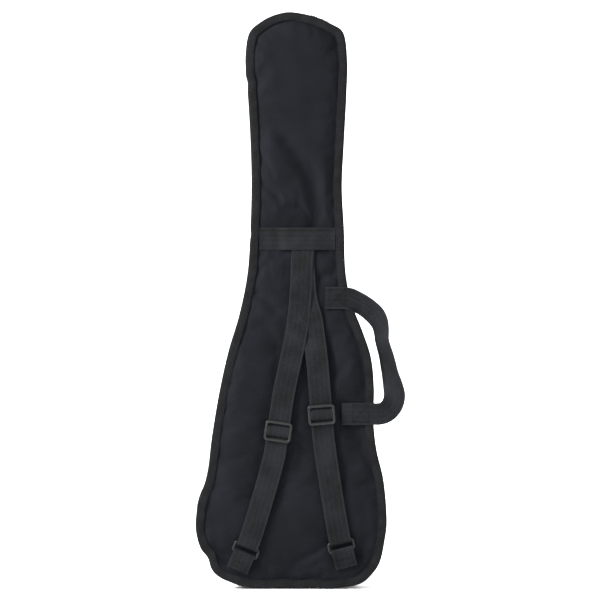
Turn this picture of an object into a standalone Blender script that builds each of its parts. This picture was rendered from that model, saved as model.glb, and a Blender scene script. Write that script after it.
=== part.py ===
"""Padded gig bag for a small solid-body guitar, as an assembly of separate sewn and moulded pieces.

Metres, +Z up towards the neck end. The back panel's outer face is the plane y = 0, the shoulder straps
lie on its -Y side, and the front of the bag faces +Y. Heights in this file are counted from the bottom
seam; the empty that carries the bag lowers them so that the middle of the neck band is the origin.
"""

import math

import bmesh
import bpy
import numpy as np
from mathutils import Matrix, Vector

# ---------------------------------------------------------------- driving sizes
BAG_LENGTH = 1.000
BAG_HALF_WIDTH = 0.173
BAG_DEPTH = 0.060
CLEARANCE = 0.0003

FOLD_HEIGHT = 0.145          # the zip ends here and the front half folds here
NECK_BAND_HEIGHT = 0.605
NECK_BAND_END_GAP = 0.0008   # from the neck band's ends to the binding
NECK_BAND_HUMP_NEAR = 0.008  # its hump over the strap roots is full this far beside them
NECK_BAND_HUMP_FAR = 0.020   # and gone this far beside them
NECK_END_RADIUS = 0.107      # round neck end
NECK_END_MIDDLE = 0.001      # its centre, beside the bag's middle line

FABRIC = 0.0012
FOAM = 0.006
LINING = 0.0007
BINDING = 0.0008             # thickness of the woven edge tape
BINDING_SHOWN = 0.0145       # how far it reaches in over the panel
BINDING_HIDDEN = 0.0064      # how far it reaches in over the side wall's flange
SIDE_WALL_INSET = 0.0068     # side wall, in from the bag's outermost edge
ZIP_TAPE = 0.0008
ZIP_TAPE_WIDTH = 0.014
ZIP_COIL = 0.0021            # thickness and half width of the closed coil
ZIP_SHOWN = 0.0055           # half width of the gap between the two side walls

WEBBING_WIDTH = 0.038
WEBBING = 0.0014
WEBBING_REST = 0.0006        # webbing that lies on the panel stands this far off it
STRAP_ROOT_OFFSET = 0.019    # strap roots, beside the bag's middle line
STRAP_ROOT_RISE = 0.012      # how far the straps reach up under the neck band
STRAP_RAMP_MARGIN = 0.006    # the straps rise off the panel this far after they part
STRAP_RAMP_LENGTH = 0.062
STRAP_TURN_REACH = 0.36      # how early a strap turns off its adjuster's line, as a share of its lower run

ADJUSTER_RAIL = 0.0039       # each side rail
ADJUSTER_SIDE_GAP = 0.0006   # each side of the webbing, inside the rails
ADJUSTER_LENGTH = 0.035
ADJUSTER_BAR = 0.004
ADJUSTER_BAR_DEPTH = 0.0025
ADJUSTER_BAR_THICK = 0.0018  # the middle bar
ADJUSTER_LIFT = 0.0012       # the side rails' clearance over the webbing that lies on the panel
ADJUSTER_TRAVEL_DOWN = 0.015
STRAP_END_LENGTH = 0.026     # sewn strap end, below the adjuster's middle bar
STRAP_END_BEND = 0.0008      # its bend starts this far below the bar's top edge

RING_SIDE_GAP = 0.001        # each side of the webbing, inside a ring
RING_LENGTH = 0.0195
RING_WIRE = 0.0035
RING_TURN_REACH = 0.42       # how early a strap turns towards its ring, as a share of its lower run
RING_SLACK = 0.00165         # free space round a ring's bar in its webbing loop
TAB_LENGTH = 0.031

HANDLE_WEBBING = 0.0016
HANDLE_UPPER_ANCHOR = 0.0495  # length of the sewn end beside the right strap
HANDLE_LOWER_ANCHOR = 0.060
HANDLE_ANCHOR_GAP = 0.0015   # from the upper sewn end to the right strap
HANDLE_HINGE_GAP = 0.0012
HANDLE_EXIT_REACH = 0.005    # the loop bends this far outside the bag's edge
HANDLE_UPPER_HEIGHT = 0.503
HANDLE_LOWER_HEIGHT = 0.303

SLIDER_LENGTH = 0.011
SLIDER_WIDTH = 0.009
SLIDER_PLATE = 0.0016
SLIDER_ARCH_LENGTH = 0.003
SLIDER_ARCH_WIDTH = 0.0072
SLIDER_ARCH_BAR = 0.0012
PULL_RADIUS = 0.0056         # ring pull, to the middle of its wire
PULL_WIRE = 0.0014
PULL_SLACK = 0.0005

POCKET_DEPTH = 0.009
POCKET_SIDE_INSET = 0.034
POCKET_FOOT = 0.045          # above the fold
POCKET_MOUTH = 0.283         # above the fold
POCKET_HEADER = 0.024
POCKET_ZIP_GAP = 0.0005      # each side of the slider, between the pocket's two edges
POCKET_ZIP_SHOWN = SLIDER_WIDTH / 2 + POCKET_ZIP_GAP
POCKET_CORNER = 0.005        # straight sides next to the pocket's corners
POCKET_TAPE_END = 0.004      # from the pocket's side walls to the zip tapes' ends

OUTLINE_STEPS = 84
HANDLE_STEPS = 3             # sections of the handle's loop between two stations
TURN_REACH = 0.020           # a radian of turn counts as this much length when samples are spread

# Outline from the bottom's middle, up the right side: (share of the half width, share of the length)
RIGHT_SIDE = [
    (0.000, 0.001), (0.400, 0.001), (0.640, 0.011), (0.780, 0.032), (0.856, 0.060), (0.896, 0.098),
    (0.905, 0.135), (0.875, 0.190), (0.808, 0.240), (0.778, 0.290), (0.783, 0.345), (0.752, 0.400),
    (0.665, 0.446), (0.562, 0.492), (0.500, 0.545), (0.483, 0.620), (0.462, 0.695), (0.482, 0.770),
    (0.509, 0.860), (0.515, 0.915),
]
# Outline from the neck end, down the left side
LEFT_SIDE = [
    (-0.506, 0.920), (-0.488, 0.870), (-0.460, 0.790), (-0.445, 0.705), (-0.456, 0.620),
    (-0.485, 0.545), (-0.565, 0.475), (-0.676, 0.410), (-0.772, 0.335), (-0.842, 0.262),
    (-0.888, 0.200), (-0.962, 0.158), (-0.998, 0.118), (-0.975, 0.080), (-0.900, 0.049),
    (-0.775, 0.021), (-0.610, 0.006), (-0.370, 0.000),
]
NECK_END_TURNS = [49, 36, 24, 12, 0, -12, -24, -36, -49]      # degrees from straight up, towards +X

LEFT, RIGHT = "left", "right"
STRAPS = {
    # the adjuster's middle as (x, height), how far the ring sits in from the bag's edge and its
    # height, the ring's lean in degrees, and how many straps lie under this one at the root
    LEFT: {"adjuster": (-0.0307, 0.272), "ring": (0.078, 0.067), "ring_lean": 23.0, "under": 1},
    RIGHT: {"adjuster": (0.0445, 0.301), "ring": (0.073, 0.074), "ring_lean": -14.0, "under": 0},
}
MAIN_SLIDERS = {LEFT: 17.0, RIGHT: 28.0}             # degrees round the neck end, towards +X

FINISHES = {
    # colour, roughness, metallic
    "fabric": ((0.026, 0.027, 0.032), 0.85, 0.0),
    "webbing": ((0.028, 0.029, 0.029), 0.75, 0.0),
    "tape": ((0.030, 0.032, 0.031), 0.70, 0.0),
    "foam": ((0.35, 0.35, 0.36), 0.95, 0.0),
    "lining": ((0.04, 0.04, 0.045), 0.60, 0.0),
    "plastic": ((0.018, 0.018, 0.019), 0.35, 0.0),
    "steel": ((0.55, 0.55, 0.56), 0.25, 1.0),
}


# ---------------------------------------------------------------- the outline
def neck_end_point(degrees, inset=0.0):
    """A point of the round neck end, as (x, height)."""
    turn, reach = math.radians(degrees), NECK_END_RADIUS - inset
    middle = BAG_LENGTH - NECK_END_RADIUS
    return (NECK_END_MIDDLE + reach * math.sin(turn), middle + reach * math.cos(turn))


def smooth_closed(points, per_span=14):
    """Centripetal Catmull-Rom curve through a closed list of points, of any number of values each."""
    p = np.array(points, float)
    count, out = len(p), []
    for i in range(count):
        a, b, c, d = (p[(i + k) % count] for k in (-1, 0, 1, 2))
        ta = 0.0
        tb = ta + math.sqrt(np.linalg.norm(b - a))
        tc = tb + math.sqrt(np.linalg.norm(c - b))
        td = tc + math.sqrt(np.linalg.norm(d - c))
        for t in np.linspace(tb, tc, per_span, endpoint=False):
            ab = ((tb - t) * a + (t - ta) * b) / (tb - ta)
            bc = ((tc - t) * b + (t - tb) * c) / (tc - tb)
            cd = ((td - t) * c + (t - tc) * d) / (td - tc)
            abc = ((tc - t) * ab + (t - ta) * bc) / (tc - ta)
            bcd = ((td - t) * bc + (t - tb) * cd) / (td - tb)
            out.append(((tc - t) * abc + (t - tb) * bcd) / (tc - tb))
    return np.array(out)


def bag_outline():
    """The bag's outermost edge, anticlockwise as seen from the back."""
    scaled = [[(x * BAG_HALF_WIDTH, z * BAG_LENGTH) for x, z in side] for side in (RIGHT_SIDE, LEFT_SIDE)]
    return smooth_closed(scaled[0] + [neck_end_point(turn) for turn in NECK_END_TURNS] + scaled[1])


OUTLINE = bag_outline()


def inset_outline(inset):
    """The outline moved in by a distance, along its own normals."""
    ahead, behind = np.roll(OUTLINE, -1, axis=0), np.roll(OUTLINE, 1, axis=0)
    along = (ahead - behind) / np.linalg.norm(ahead - behind, axis=1)[:, None]
    return OUTLINE + inset * np.stack([-along[:, 1], along[:, 0]], axis=1)


def even_samples():
    """Which of the outline's points the solids use: evenly spread, but closer together where it turns."""
    step = np.roll(OUTLINE, -1, axis=0) - OUTLINE
    heading = np.unwrap(np.arctan2(step[:, 1], step[:, 0]))
    turn = np.abs(np.diff(heading, prepend=heading[0]))
    along = np.cumsum(np.linalg.norm(step, axis=1) + TURN_REACH * turn)
    return np.unique(np.searchsorted(along, np.linspace(0.0, along[-1], OUTLINE_STEPS, endpoint=False)))


SAMPLES = even_samples()


def edge_path(inset, part="all"):
    """The outline, moved in, of the whole bag or of what lies above or below the fold.

    All insets use the same samples, so that pieces which lie side by side stay parallel.
    """
    points = inset_outline(inset)[SAMPLES]
    if part == "all":
        return points
    way = 1.0 if part == "above" else -1.0
    height = FOLD_HEIGHT + way * CLEARANCE / 2
    beyond = [way * (inset_outline(reach)[SAMPLES][:, 1] - height) for reach in (0.0, BINDING_SHOWN)]
    kept = np.minimum(*beyond) > 0.001
    count = len(points)
    first = next(i for i in range(count) if kept[i] and not kept[i - 1])
    last = next(i for i in range(first, first + count) if not kept[(i + 1) % count])

    def crossing(start, direction):
        """Where the path from a kept sample reaches the height."""
        i = start
        while way * (points[(i + direction) % count, 1] - height) > 0:
            i += direction
        inside, outside = points[i % count], points[(i + direction) % count]
        return outside + (height - outside[1]) / (inside[1] - outside[1]) * (inside - outside)

    middle = [points[i % count] for i in range(first, last + 1)]
    return np.array([crossing(first, -1), *middle, crossing(last, 1)])


def edge_x(side, height, inset=0.0):
    """Where the bag's left or right edge is at a height."""
    points = inset_outline(inset)
    points = points[points[:, 0] * (1 if side == RIGHT else -1) > 0]
    order = np.argsort(points[:, 1])
    return float(np.interp(height, points[order, 1], points[order, 0]))


# ---------------------------------------------------------------- making objects
def clear_scene():
    for thing in list(bpy.data.objects):
        bpy.data.objects.remove(thing, do_unlink=True)


def collection(name):
    made = bpy.data.collections.new(name)
    bpy.context.scene.collection.children.link(made)
    return made


def axis_empty(name, place, lean=0.0, parent=None):
    """An empty on a joint or at the foot of a sub-assembly, turned about Y by lean (radians)."""
    empty = bpy.data.objects.new(name, None)
    empty.empty_display_size = 0.02
    empty.location = place
    empty.rotation_euler = (0.0, lean, 0.0)
    empty.parent = parent or BAG
    PARTS.objects.link(empty)
    return empty


def finish(thing, look, parent=None):
    """Gives an object its own material and its place in the bag."""
    colour, roughness, metallic = FINISHES[look]
    material = bpy.data.materials.new(thing.name)
    material.use_nodes = True
    shader = material.node_tree.nodes["Principled BSDF"]
    shader.inputs["Base Color"].default_value = (*colour, 1.0)
    shader.inputs["Roughness"].default_value = roughness
    shader.inputs["Metallic"].default_value = metallic
    thing.data.materials.append(material)
    thing.parent = parent or BAG
    PARTS.objects.link(thing)
    return thing


def mesh_object(name, bm):
    mesh = bpy.data.meshes.new(name)
    bm.to_mesh(mesh)
    bm.free()
    return bpy.data.objects.new(name, mesh)


def loft(name, rails, closed, look, parent=None):
    """A solid between rails, which run side by side round its section."""
    bm = bmesh.new()
    rows = [[bm.verts.new(point) for point in rail] for rail in rails]
    count = len(rows[0])
    for row, beside in zip(rows, rows[1:] + rows[:1]):
        for i in range(count if closed else count - 1):
            j = (i + 1) % count
            bm.faces.new((row[i], row[j], beside[j], beside[i]))
    if not closed:
        bm.faces.new([row[0] for row in rows])
        bm.faces.new([row[-1] for row in rows])
    bmesh.ops.triangulate(bm, faces=[face for face in bm.faces if len(face.verts) == 4])
    bmesh.ops.recalc_face_normals(bm, faces=bm.faces)
    return finish(mesh_object(name, bm), look, parent)


def edge_strip(name, section, look, part="all"):
    """A section of (inset, y) points carried round the bag's edge."""
    rails = [[(x, y, z) for x, z in edge_path(inset, part)] for inset, y in section]
    return loft(name, rails, part == "all", look)


def hang_on(empty, things):
    """Makes pieces that are placed in the bag's frame move with an empty, and leaves them where they are."""
    place = Matrix.LocRotScale(empty.location, empty.rotation_euler, None)
    for thing in things:
        thing.parent = empty
        thing.matrix_parent_inverse = place.inverted()


def flat_outline(name, points, thickness, turn, place, look, parent=None, holes=()):
    """A flat outline with a thickness: a filled 2D curve, turned into its plane."""
    curve = bpy.data.curves.new(name, "CURVE")
    curve.dimensions = "2D"
    curve.fill_mode = "BOTH"
    curve.extrude = thickness / 2
    for loop in (points, *holes):
        spline = curve.splines.new("POLY")
        spline.points.add(len(loop) - 1)
        for knot, (a, b) in zip(spline.points, loop):
            knot.co = (a, b, 0.0, 1.0)
        spline.use_cyclic_u = True
    thing = bpy.data.objects.new(name, curve)
    thing.location = place
    thing.rotation_euler = turn
    return finish(thing, look, parent)


def panel(name, points, outer_y, inner_y, look):
    """A flat sheet parallel to the back panel, between two planes."""
    upright = (math.pi / 2, 0.0, 0.0)
    place = (0.0, (outer_y + inner_y) / 2, 0.0)
    return flat_outline(name, points, abs(outer_y - inner_y), upright, place, look)


def tray(name, points, floor_y, rim_y, wall, is_open, look):
    """A thin sheet whose rim is turned up, except where is_open says that a side stays flat."""
    bm = bmesh.new()
    floor = bm.faces.new([bm.verts.new((x, floor_y, z)) for x, z in points])
    edges = [edge for edge in floor.edges if not is_open(*(v.co for v in edge.verts))]
    made = bmesh.ops.extrude_edge_only(bm, edges=edges)["geom"]
    for vert in (v for v in made if isinstance(v, bmesh.types.BMVert)):
        vert.co.y = rim_y
    bmesh.ops.recalc_face_normals(bm, faces=bm.faces)
    outward = math.copysign(1.0, floor_y - rim_y)
    if floor.normal.y * outward < 0:
        bmesh.ops.reverse_faces(bm, faces=bm.faces)
    thing = finish(mesh_object(name, bm), look)
    solidify = thing.modifiers.new("thickness", "SOLIDIFY")
    solidify.thickness = wall
    solidify.offset = -1.0
    solidify.use_even_offset = True
    return thing


def ribbon(name, centres, across, thickness, look, parent=None):
    """A flat band along a path; across holds half its width, as a vector, at each point."""
    centres, across = np.array(centres, float), np.array(across, float)
    along = np.gradient(centres, axis=0)
    normal = np.cross(along, across)
    normal *= thickness / 2 / np.linalg.norm(normal, axis=1)[:, None]
    rails = [
        centres - across - normal,
        centres + across - normal,
        centres + across + normal,
        centres - across + normal,
    ]
    return loft(name, rails, False, look, parent)


def box(name, size, place, parent=None, bevel=0.0):
    """A box of a given size, with its edges rounded."""
    bm = bmesh.new()
    bmesh.ops.create_cube(bm, size=1.0, matrix=Matrix.Diagonal((*size, 1.0)))
    if bevel:
        bmesh.ops.bevel(bm, geom=bm.edges, offset=bevel, segments=2, profile=0.5, affect="EDGES")
    thing = mesh_object(name, bm)
    thing.location = place
    thing.parent = parent or BAG
    return thing


def combine(thing, other, operation):
    """Cuts an object with a box, or joins the box to it."""
    other.hide_render = True
    other.display_type = "WIRE"
    CUTTERS.objects.link(other)
    modifier = thing.modifiers.new(other.name, "BOOLEAN")
    modifier.operation = operation
    modifier.object = other


def smoothstep(share):
    share = min(max(share, 0.0), 1.0)
    return share * share * (3.0 - 2.0 * share)


# ---------------------------------------------------------------- back and front halves
def rear(depth):
    """A depth under the back panel's face, as y."""
    return depth


def front(depth):
    """A depth under the front panel's face, as y."""
    return BAG_DEPTH - depth


FABRIC_INNER = FABRIC
FLANGE_OUTER = FABRIC_INNER + CLEARANCE
FLANGE_INNER = FLANGE_OUTER + FABRIC
FOAM_OUTER = FABRIC_INNER + CLEARANCE
FOAM_INNER = FOAM_OUTER + FOAM
LINING_OUTER = FOAM_INNER + CLEARANCE
EDGE_POCKET = BINDING + CLEARANCE * 2                  # the sewn edge, in from the binding's bend
ZIP_INSET = SIDE_WALL_INSET + FABRIC + CLEARANCE       # zip tape, under the side wall
INNER_INSET = ZIP_INSET + ZIP_TAPE + CLEARANCE * 2     # foam and lining, inside the zip tape
BINDING_PROUD = BINDING + CLEARANCE                    # how far the binding stands above the panel
HINGE_Y = BAG_DEPTH + BINDING_PROUD + 0.0001


def binding_section(place):
    """A U round the sewn edge: the wide leg over the panel, the short leg over the flange."""
    outer, inner = -BINDING_PROUD, FLANGE_INNER + BINDING_PROUD
    section = [
        (BINDING_SHOWN, outer), (0.0, outer), (0.0, inner), (BINDING_HIDDEN, inner),
        (BINDING_HIDDEN, inner - BINDING), (BINDING, inner - BINDING),
        (BINDING, outer + BINDING), (BINDING_SHOWN, outer + BINDING),
    ]
    return [(inset, place(depth)) for inset, depth in section]


def side_wall_section(place):
    """An L: the flange sewn to the panel's edge, and the wall that runs to the zip."""
    reach = SIDE_WALL_INSET + FABRIC
    section = [
        (EDGE_POCKET, FLANGE_OUTER), (reach, FLANGE_OUTER), (reach, BAG_DEPTH / 2 - ZIP_SHOWN),
        (SIDE_WALL_INSET, BAG_DEPTH / 2 - ZIP_SHOWN), (SIDE_WALL_INSET, FLANGE_INNER),
        (EDGE_POCKET, FLANGE_INNER),
    ]
    return [(inset, place(depth)) for inset, depth in section]


def zip_tape_section(place):
    """Flat tape with the coil as a bead along its free edge."""
    meet = BAG_DEPTH / 2 - CLEARANCE / 2
    inner = ZIP_INSET + ZIP_TAPE
    section = [
        (ZIP_INSET, meet - ZIP_TAPE_WIDTH), (inner, meet - ZIP_TAPE_WIDTH), (inner, meet),
        (inner - ZIP_COIL, meet), (inner - ZIP_COIL, meet - ZIP_COIL), (ZIP_INSET, meet - ZIP_COIL),
    ]
    return [(inset, place(depth)) for inset, depth in section]


def bottom_wall_section():
    """The side wall of the closed foot, from the back panel's edge to the front's, with both flanges."""
    reach = SIDE_WALL_INSET + FABRIC
    half = [(EDGE_POCKET, FLANGE_OUTER), (reach, FLANGE_OUTER)]
    inner = [(EDGE_POCKET, FLANGE_INNER), (SIDE_WALL_INSET, FLANGE_INNER)]
    return [
        *[(inset, rear(depth)) for inset, depth in half],
        *[(inset, front(depth)) for inset, depth in reversed(half)],
        *[(inset, front(depth)) for inset, depth in inner],
        *[(inset, rear(depth)) for inset, depth in reversed(inner)],
    ]


def on_fold(a, b):
    """True for an edge that lies along the fold."""
    return abs(a.z - FOLD_HEIGHT) < CLEARANCE and abs(b.z - FOLD_HEIGHT) < CLEARANCE


def layers(prefix, part, place):
    """Outer fabric, foam and lining of a panel."""
    rim = BAG_DEPTH / 2 - ZIP_COIL
    panel(f"{prefix}_shell", edge_path(EDGE_POCKET, part), place(0.0), place(FABRIC_INNER), "fabric")
    panel(f"{prefix}_padding", edge_path(INNER_INSET, part), place(FOAM_OUTER), place(FOAM_INNER), "foam")
    tray(
        f"{prefix}_lining", edge_path(INNER_INSET, part), place(LINING_OUTER), place(rim),
        LINING, on_fold, "lining",
    )


def build_halves():
    layers("back", "all", rear)
    edge_strip("back_binding", binding_section(rear), "tape")
    # the full-height side wall is two strips of one width, one each side of the zip
    for prefix, place in (("back", rear), ("front", front)):
        edge_strip(f"{prefix}_side_wall", side_wall_section(place), "fabric", "above")
        edge_strip(f"{prefix}_zip_tape", zip_tape_section(place), "tape", "above")
    layers("front", "above", front)
    edge_strip("front_binding", binding_section(front), "tape", "above")
    layers("foot", "below", front)
    edge_strip("foot_binding", binding_section(front), "tape", "below")
    edge_strip("bottom_side_wall", bottom_wall_section(), "fabric", "below")


# ---------------------------------------------------------------- straps
def down(lean):
    """The way down a strap that leans towards -X by lean (radians), along the back panel."""
    return np.array([-math.sin(lean), 0.0, -math.cos(lean)])


def over(lean):
    """The way across that strap, towards +X."""
    return np.array([math.cos(lean), 0.0, -math.sin(lean)])


OUTWARD = np.array([0.0, -1.0, 0.0])
LOOP_RADIUS = RING_WIRE / 2 + RING_SLACK              # inside of a webbing loop round a ring's bar
LAYER_BACK = WEBBING_REST + WEBBING / 2                      # webbing that lies on the panel, to its middle
LOOP_MIDDLE = LAYER_BACK + WEBBING / 2 + LOOP_RADIUS   # a ring's bars, out from the panel
LAYER_FRONT = LOOP_MIDDLE + LOOP_RADIUS + WEBBING / 2
RING_PITCH = RING_LENGTH - RING_WIRE                   # between the middles of a ring's two long bars


def strap_layout(side):
    """Where a strap's root, adjuster and ring are, and how they lean."""
    own = STRAPS[side]
    sign = 1 if side == RIGHT else -1
    inset, height = own["ring"]
    root = np.array([STRAP_ROOT_OFFSET, 0.0, NECK_BAND_HEIGHT + STRAP_ROOT_RISE])
    adjuster = np.array([own["adjuster"][0], 0.0, own["adjuster"][1]])
    ring = np.array([edge_x(side, height) - sign * inset, 0.0, height])
    run = adjuster - root
    return {
        "root": root,
        "adjuster": adjuster,
        "ring": ring,
        "lean": math.atan2(-run[0], -run[2]),
        "ring_lean": math.radians(own["ring_lean"]),
        "under": own["under"],
    }


def straps_part():
    """How far down from their roots the two straps stop lying over each other."""
    leans = [strap_layout(side)["lean"] for side in (LEFT, RIGHT)]
    return WEBBING_WIDTH / (math.tan(leans[0]) - math.tan(leans[1]))


def strap_path(side):
    """Points down a strap's front, round the ring's upper bar and back up behind, with its half widths."""
    at = strap_layout(side)
    lean, ring_lean = at["lean"], at["ring_lean"]
    low = LAYER_BACK + at["under"] * (WEBBING + CLEARANCE)
    to_adjuster = float(np.linalg.norm(at["adjuster"] - at["root"]))
    straight = to_adjuster + ADJUSTER_LENGTH / 2 + ADJUSTER_TRAVEL_DOWN + 0.004
    centres, halves = [], []

    def add(point, out, turn):
        centres.append(point + OUTWARD * out)
        halves.append(over(turn) * WEBBING_WIDTH / 2)

    ramp = straps_part() + STRAP_RAMP_MARGIN
    for run in [0.0, *np.linspace(ramp, ramp + STRAP_RAMP_LENGTH, 8), straight]:
        rise = smoothstep((run - ramp) / STRAP_RAMP_LENGTH)
        add(at["root"] + down(lean) * run, low + (LAYER_FRONT - low) * rise, lean)

    start = at["root"] + down(lean) * straight
    bar = at["ring"] - down(ring_lean) * RING_PITCH / 2
    reach = float(np.linalg.norm(bar - start))

    def lower(share):
        """Cubic between the adjuster's straight and the ring, which lean differently."""
        a, b = start, bar
        da = down(lean) * reach * STRAP_TURN_REACH
        db = down(ring_lean) * reach * RING_TURN_REACH
        s = share
        point = (
            (2 * s**3 - 3 * s**2 + 1) * a + (s**3 - 2 * s**2 + s) * da
            + (3 * s**2 - 2 * s**3) * b + (s**3 - s**2) * db
        )
        slope = (
            (6 * s**2 - 6 * s) * (a - b) + (3 * s**2 - 4 * s + 1) * da + (3 * s**2 - 2 * s) * db
        )
        return point, math.atan2(-slope[0], -slope[2])

    shares = np.linspace(0.0, 1.0, 9)
    for share in shares[1:]:
        point, turn = lower(share)
        add(point, LAYER_FRONT, turn)
    for turn in np.linspace(0.0, math.pi, 8)[1:-1]:
        radius = LOOP_RADIUS + WEBBING / 2
        point = bar + down(ring_lean) * radius * math.sin(turn)
        add(point, LOOP_MIDDLE + radius * math.cos(turn), ring_lean)
    for share in shares[::-1]:
        point, turn = lower(share)
        add(point, LAYER_BACK, turn)
    return centres, halves


def build_strap(side):
    centres, halves = strap_path(side)
    ribbon(f"{side}_strap", centres, halves, WEBBING, "webbing")


def build_tab(side):
    """Webbing folded over the ring's lower bar, with both ends at the bottom seam."""
    at = strap_layout(side)
    lean = at["ring_lean"]
    bar = at["ring"] + down(lean) * RING_PITCH / 2
    radius = LOOP_RADIUS + WEBBING / 2
    front_end = LAYER_BACK + WEBBING + CLEARANCE
    route = []
    for share in np.linspace(1.0, 0.0, 6):
        out = front_end + (LAYER_FRONT - front_end) * smoothstep((1.0 - share) * 1.25)
        route.append((share * TAB_LENGTH, out))
    for turn in np.linspace(0.0, math.pi, 8)[1:-1]:
        route.append((-radius * math.sin(turn), LOOP_MIDDLE + radius * math.cos(turn)))
    route += [(0.0, LAYER_BACK), (TAB_LENGTH, LAYER_BACK)]
    centres = [bar + down(lean) * along + OUTWARD * out for along, out in route]
    halves = [over(lean) * WEBBING_WIDTH / 2] * len(centres)
    ribbon(f"{side}_tab", centres, halves, WEBBING, "webbing")


def build_ring(side):
    """A rectangular moulded ring: a round wire bent into a loop with rounded corners."""
    at = strap_layout(side)
    lean = at["ring_lean"]
    hinge = at["ring"] + down(lean) * RING_PITCH / 2 + OUTWARD * LOOP_MIDDLE
    empty = axis_empty(f"{side}_ring_axis", hinge, lean)
    half, corner = (WEBBING_WIDTH + RING_WIRE) / 2 + RING_SIDE_GAP, RING_WIRE * 0.9
    middles = [(half, RING_PITCH), (-half, RING_PITCH), (-half, 0.0), (half, 0.0)]
    points = []
    for quarter, (x, z) in enumerate(middles):
        cx, cz = x - math.copysign(corner, x), (corner if z == 0.0 else RING_PITCH - corner)
        for turn in (0, 30, 60, 90):
            angle = math.radians(90 * quarter + turn)
            points.append((cx + corner * math.cos(angle), cz + corner * math.sin(angle)))
    curve = bpy.data.curves.new(f"{side}_ring", "CURVE")
    curve.dimensions = "3D"
    curve.bevel_depth = RING_WIRE / 2
    curve.bevel_resolution = 2
    spline = curve.splines.new("POLY")
    spline.points.add(len(points) - 1)
    for knot, (x, z) in zip(spline.points, points):
        knot.co = (x, 0.0, z, 1.0)
    spline.use_cyclic_u = True
    finish(bpy.data.objects.new(f"{side}_ring", curve), "plastic", empty)


def build_adjuster(side):
    """Three-bar slide: outer bars over the webbing, the middle bar behind it with the sewn strap end."""
    at = strap_layout(side)
    empty = axis_empty(f"{side}_adjuster_axis", at["adjuster"], at["lean"])
    webbing_front = LAYER_FRONT + WEBBING / 2
    bars_back = webbing_front + CLEARANCE
    bars_front = bars_back + ADJUSTER_BAR_DEPTH
    window = WEBBING_WIDTH + 2 * ADJUSTER_SIDE_GAP
    rails_back = LAYER_BACK + WEBBING / 2 + ADJUSTER_LIFT
    body_depth = bars_front - rails_back
    body = box(
        f"{side}_adjuster", (window + 2 * ADJUSTER_RAIL, body_depth, ADJUSTER_LENGTH),
        (0.0, -(rails_back + body_depth / 2), 0.0), empty, bevel=0.0012,
    )
    finish(body, "plastic", empty)
    channel_depth = bars_back - rails_back + 0.002
    channel = box(
        f"{side}_adjuster_channel", (window, channel_depth, ADJUSTER_LENGTH * 1.2),
        (0.0, -(bars_back - channel_depth / 2), 0.0), empty,
    )
    combine(body, channel, "DIFFERENCE")
    opening = box(
        f"{side}_adjuster_window", (window, body_depth * 3, ADJUSTER_LENGTH - 2 * ADJUSTER_BAR),
        (0.0, -(rails_back + body_depth / 2), 0.0), empty,
    )
    combine(body, opening, "DIFFERENCE")
    bar_out = LAYER_FRONT - 1.5 * WEBBING - 2 * CLEARANCE - ADJUSTER_BAR_THICK / 2
    middle = box(
        f"{side}_adjuster_bar", (window + ADJUSTER_RAIL, ADJUSTER_BAR_THICK, ADJUSTER_BAR),
        (0.0, -bar_out, 0.0), empty, bevel=0.0004,
    )
    combine(body, middle, "UNION")
    # the strap end wraps the middle bar and is sewn to itself below it
    radius = ADJUSTER_BAR_THICK / 2 + CLEARANCE + WEBBING / 2
    over_bar = ADJUSTER_BAR / 2 + CLEARANCE
    bend = over_bar - STRAP_END_BEND
    route = [(-STRAP_END_LENGTH * 0.6, radius), (-over_bar, radius), (bend, radius)]
    route += [
        (bend + radius * math.cos(turn), radius * math.sin(turn))
        for turn in np.linspace(math.pi / 2, -math.pi / 2, 7)[1:-1]
    ]
    route += [(bend, -radius), (-over_bar, -radius), (-STRAP_END_LENGTH, -radius)]
    centres = [(0.0, -(bar_out + out), up) for up, out in route]
    halves = [(WEBBING_WIDTH / 2, 0.0, 0.0)] * len(centres)
    ribbon(f"{side}_strap_end", centres, halves, WEBBING, "webbing", empty)


def build_neck_band():
    """Webbing sewn across the neck, humped over the two strap roots."""
    reach = WEBBING_WIDTH / 2
    heights = [NECK_BAND_HEIGHT + step for step in (-reach, 0.0, reach)]
    left_end = max(edge_x(LEFT, height, BINDING_SHOWN) for height in heights) + NECK_BAND_END_GAP
    right_end = min(edge_x(RIGHT, height, BINDING_SHOWN) for height in heights) - NECK_BAND_END_GAP
    flat = CLEARANCE + WEBBING / 2
    top = LAYER_BACK + 2 * (WEBBING + CLEARANCE)
    near, far = reach + NECK_BAND_HUMP_NEAR, reach + NECK_BAND_HUMP_FAR
    ramp = np.linspace(near, far, 5)
    hump = [STRAP_ROOT_OFFSET + step for step in (*-ramp[::-1], *ramp)]
    centres = []
    for x in (left_end, *[x for x in hump if left_end < x < right_end], right_end):
        rise = smoothstep((far - abs(x - STRAP_ROOT_OFFSET)) / (far - near))
        centres.append((x, -flat - (top - flat) * rise, NECK_BAND_HEIGHT))
    halves = [(0.0, 0.0, reach)] * len(centres)
    ribbon("neck_band", centres, halves, WEBBING, "webbing")


# ---------------------------------------------------------------- carry handle
def handle_exit(height):
    """Where a handle anchor ends and the loop starts, just outside the bag's right edge."""
    return np.array([edge_x(RIGHT, height) + HANDLE_EXIT_REACH, 0.0, height])


def strap_edge(side, height):
    """The x that a sewn end beside a strap may reach to, with the webbing's middle at a height."""
    at = strap_layout(side)
    low = height - WEBBING_WIDTH / 2
    middle = at["root"][0] + (low - at["root"][2]) * math.tan(at["lean"])
    return middle + WEBBING_WIDTH / 2 / math.cos(at["lean"]) + HANDLE_ANCHOR_GAP


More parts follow.
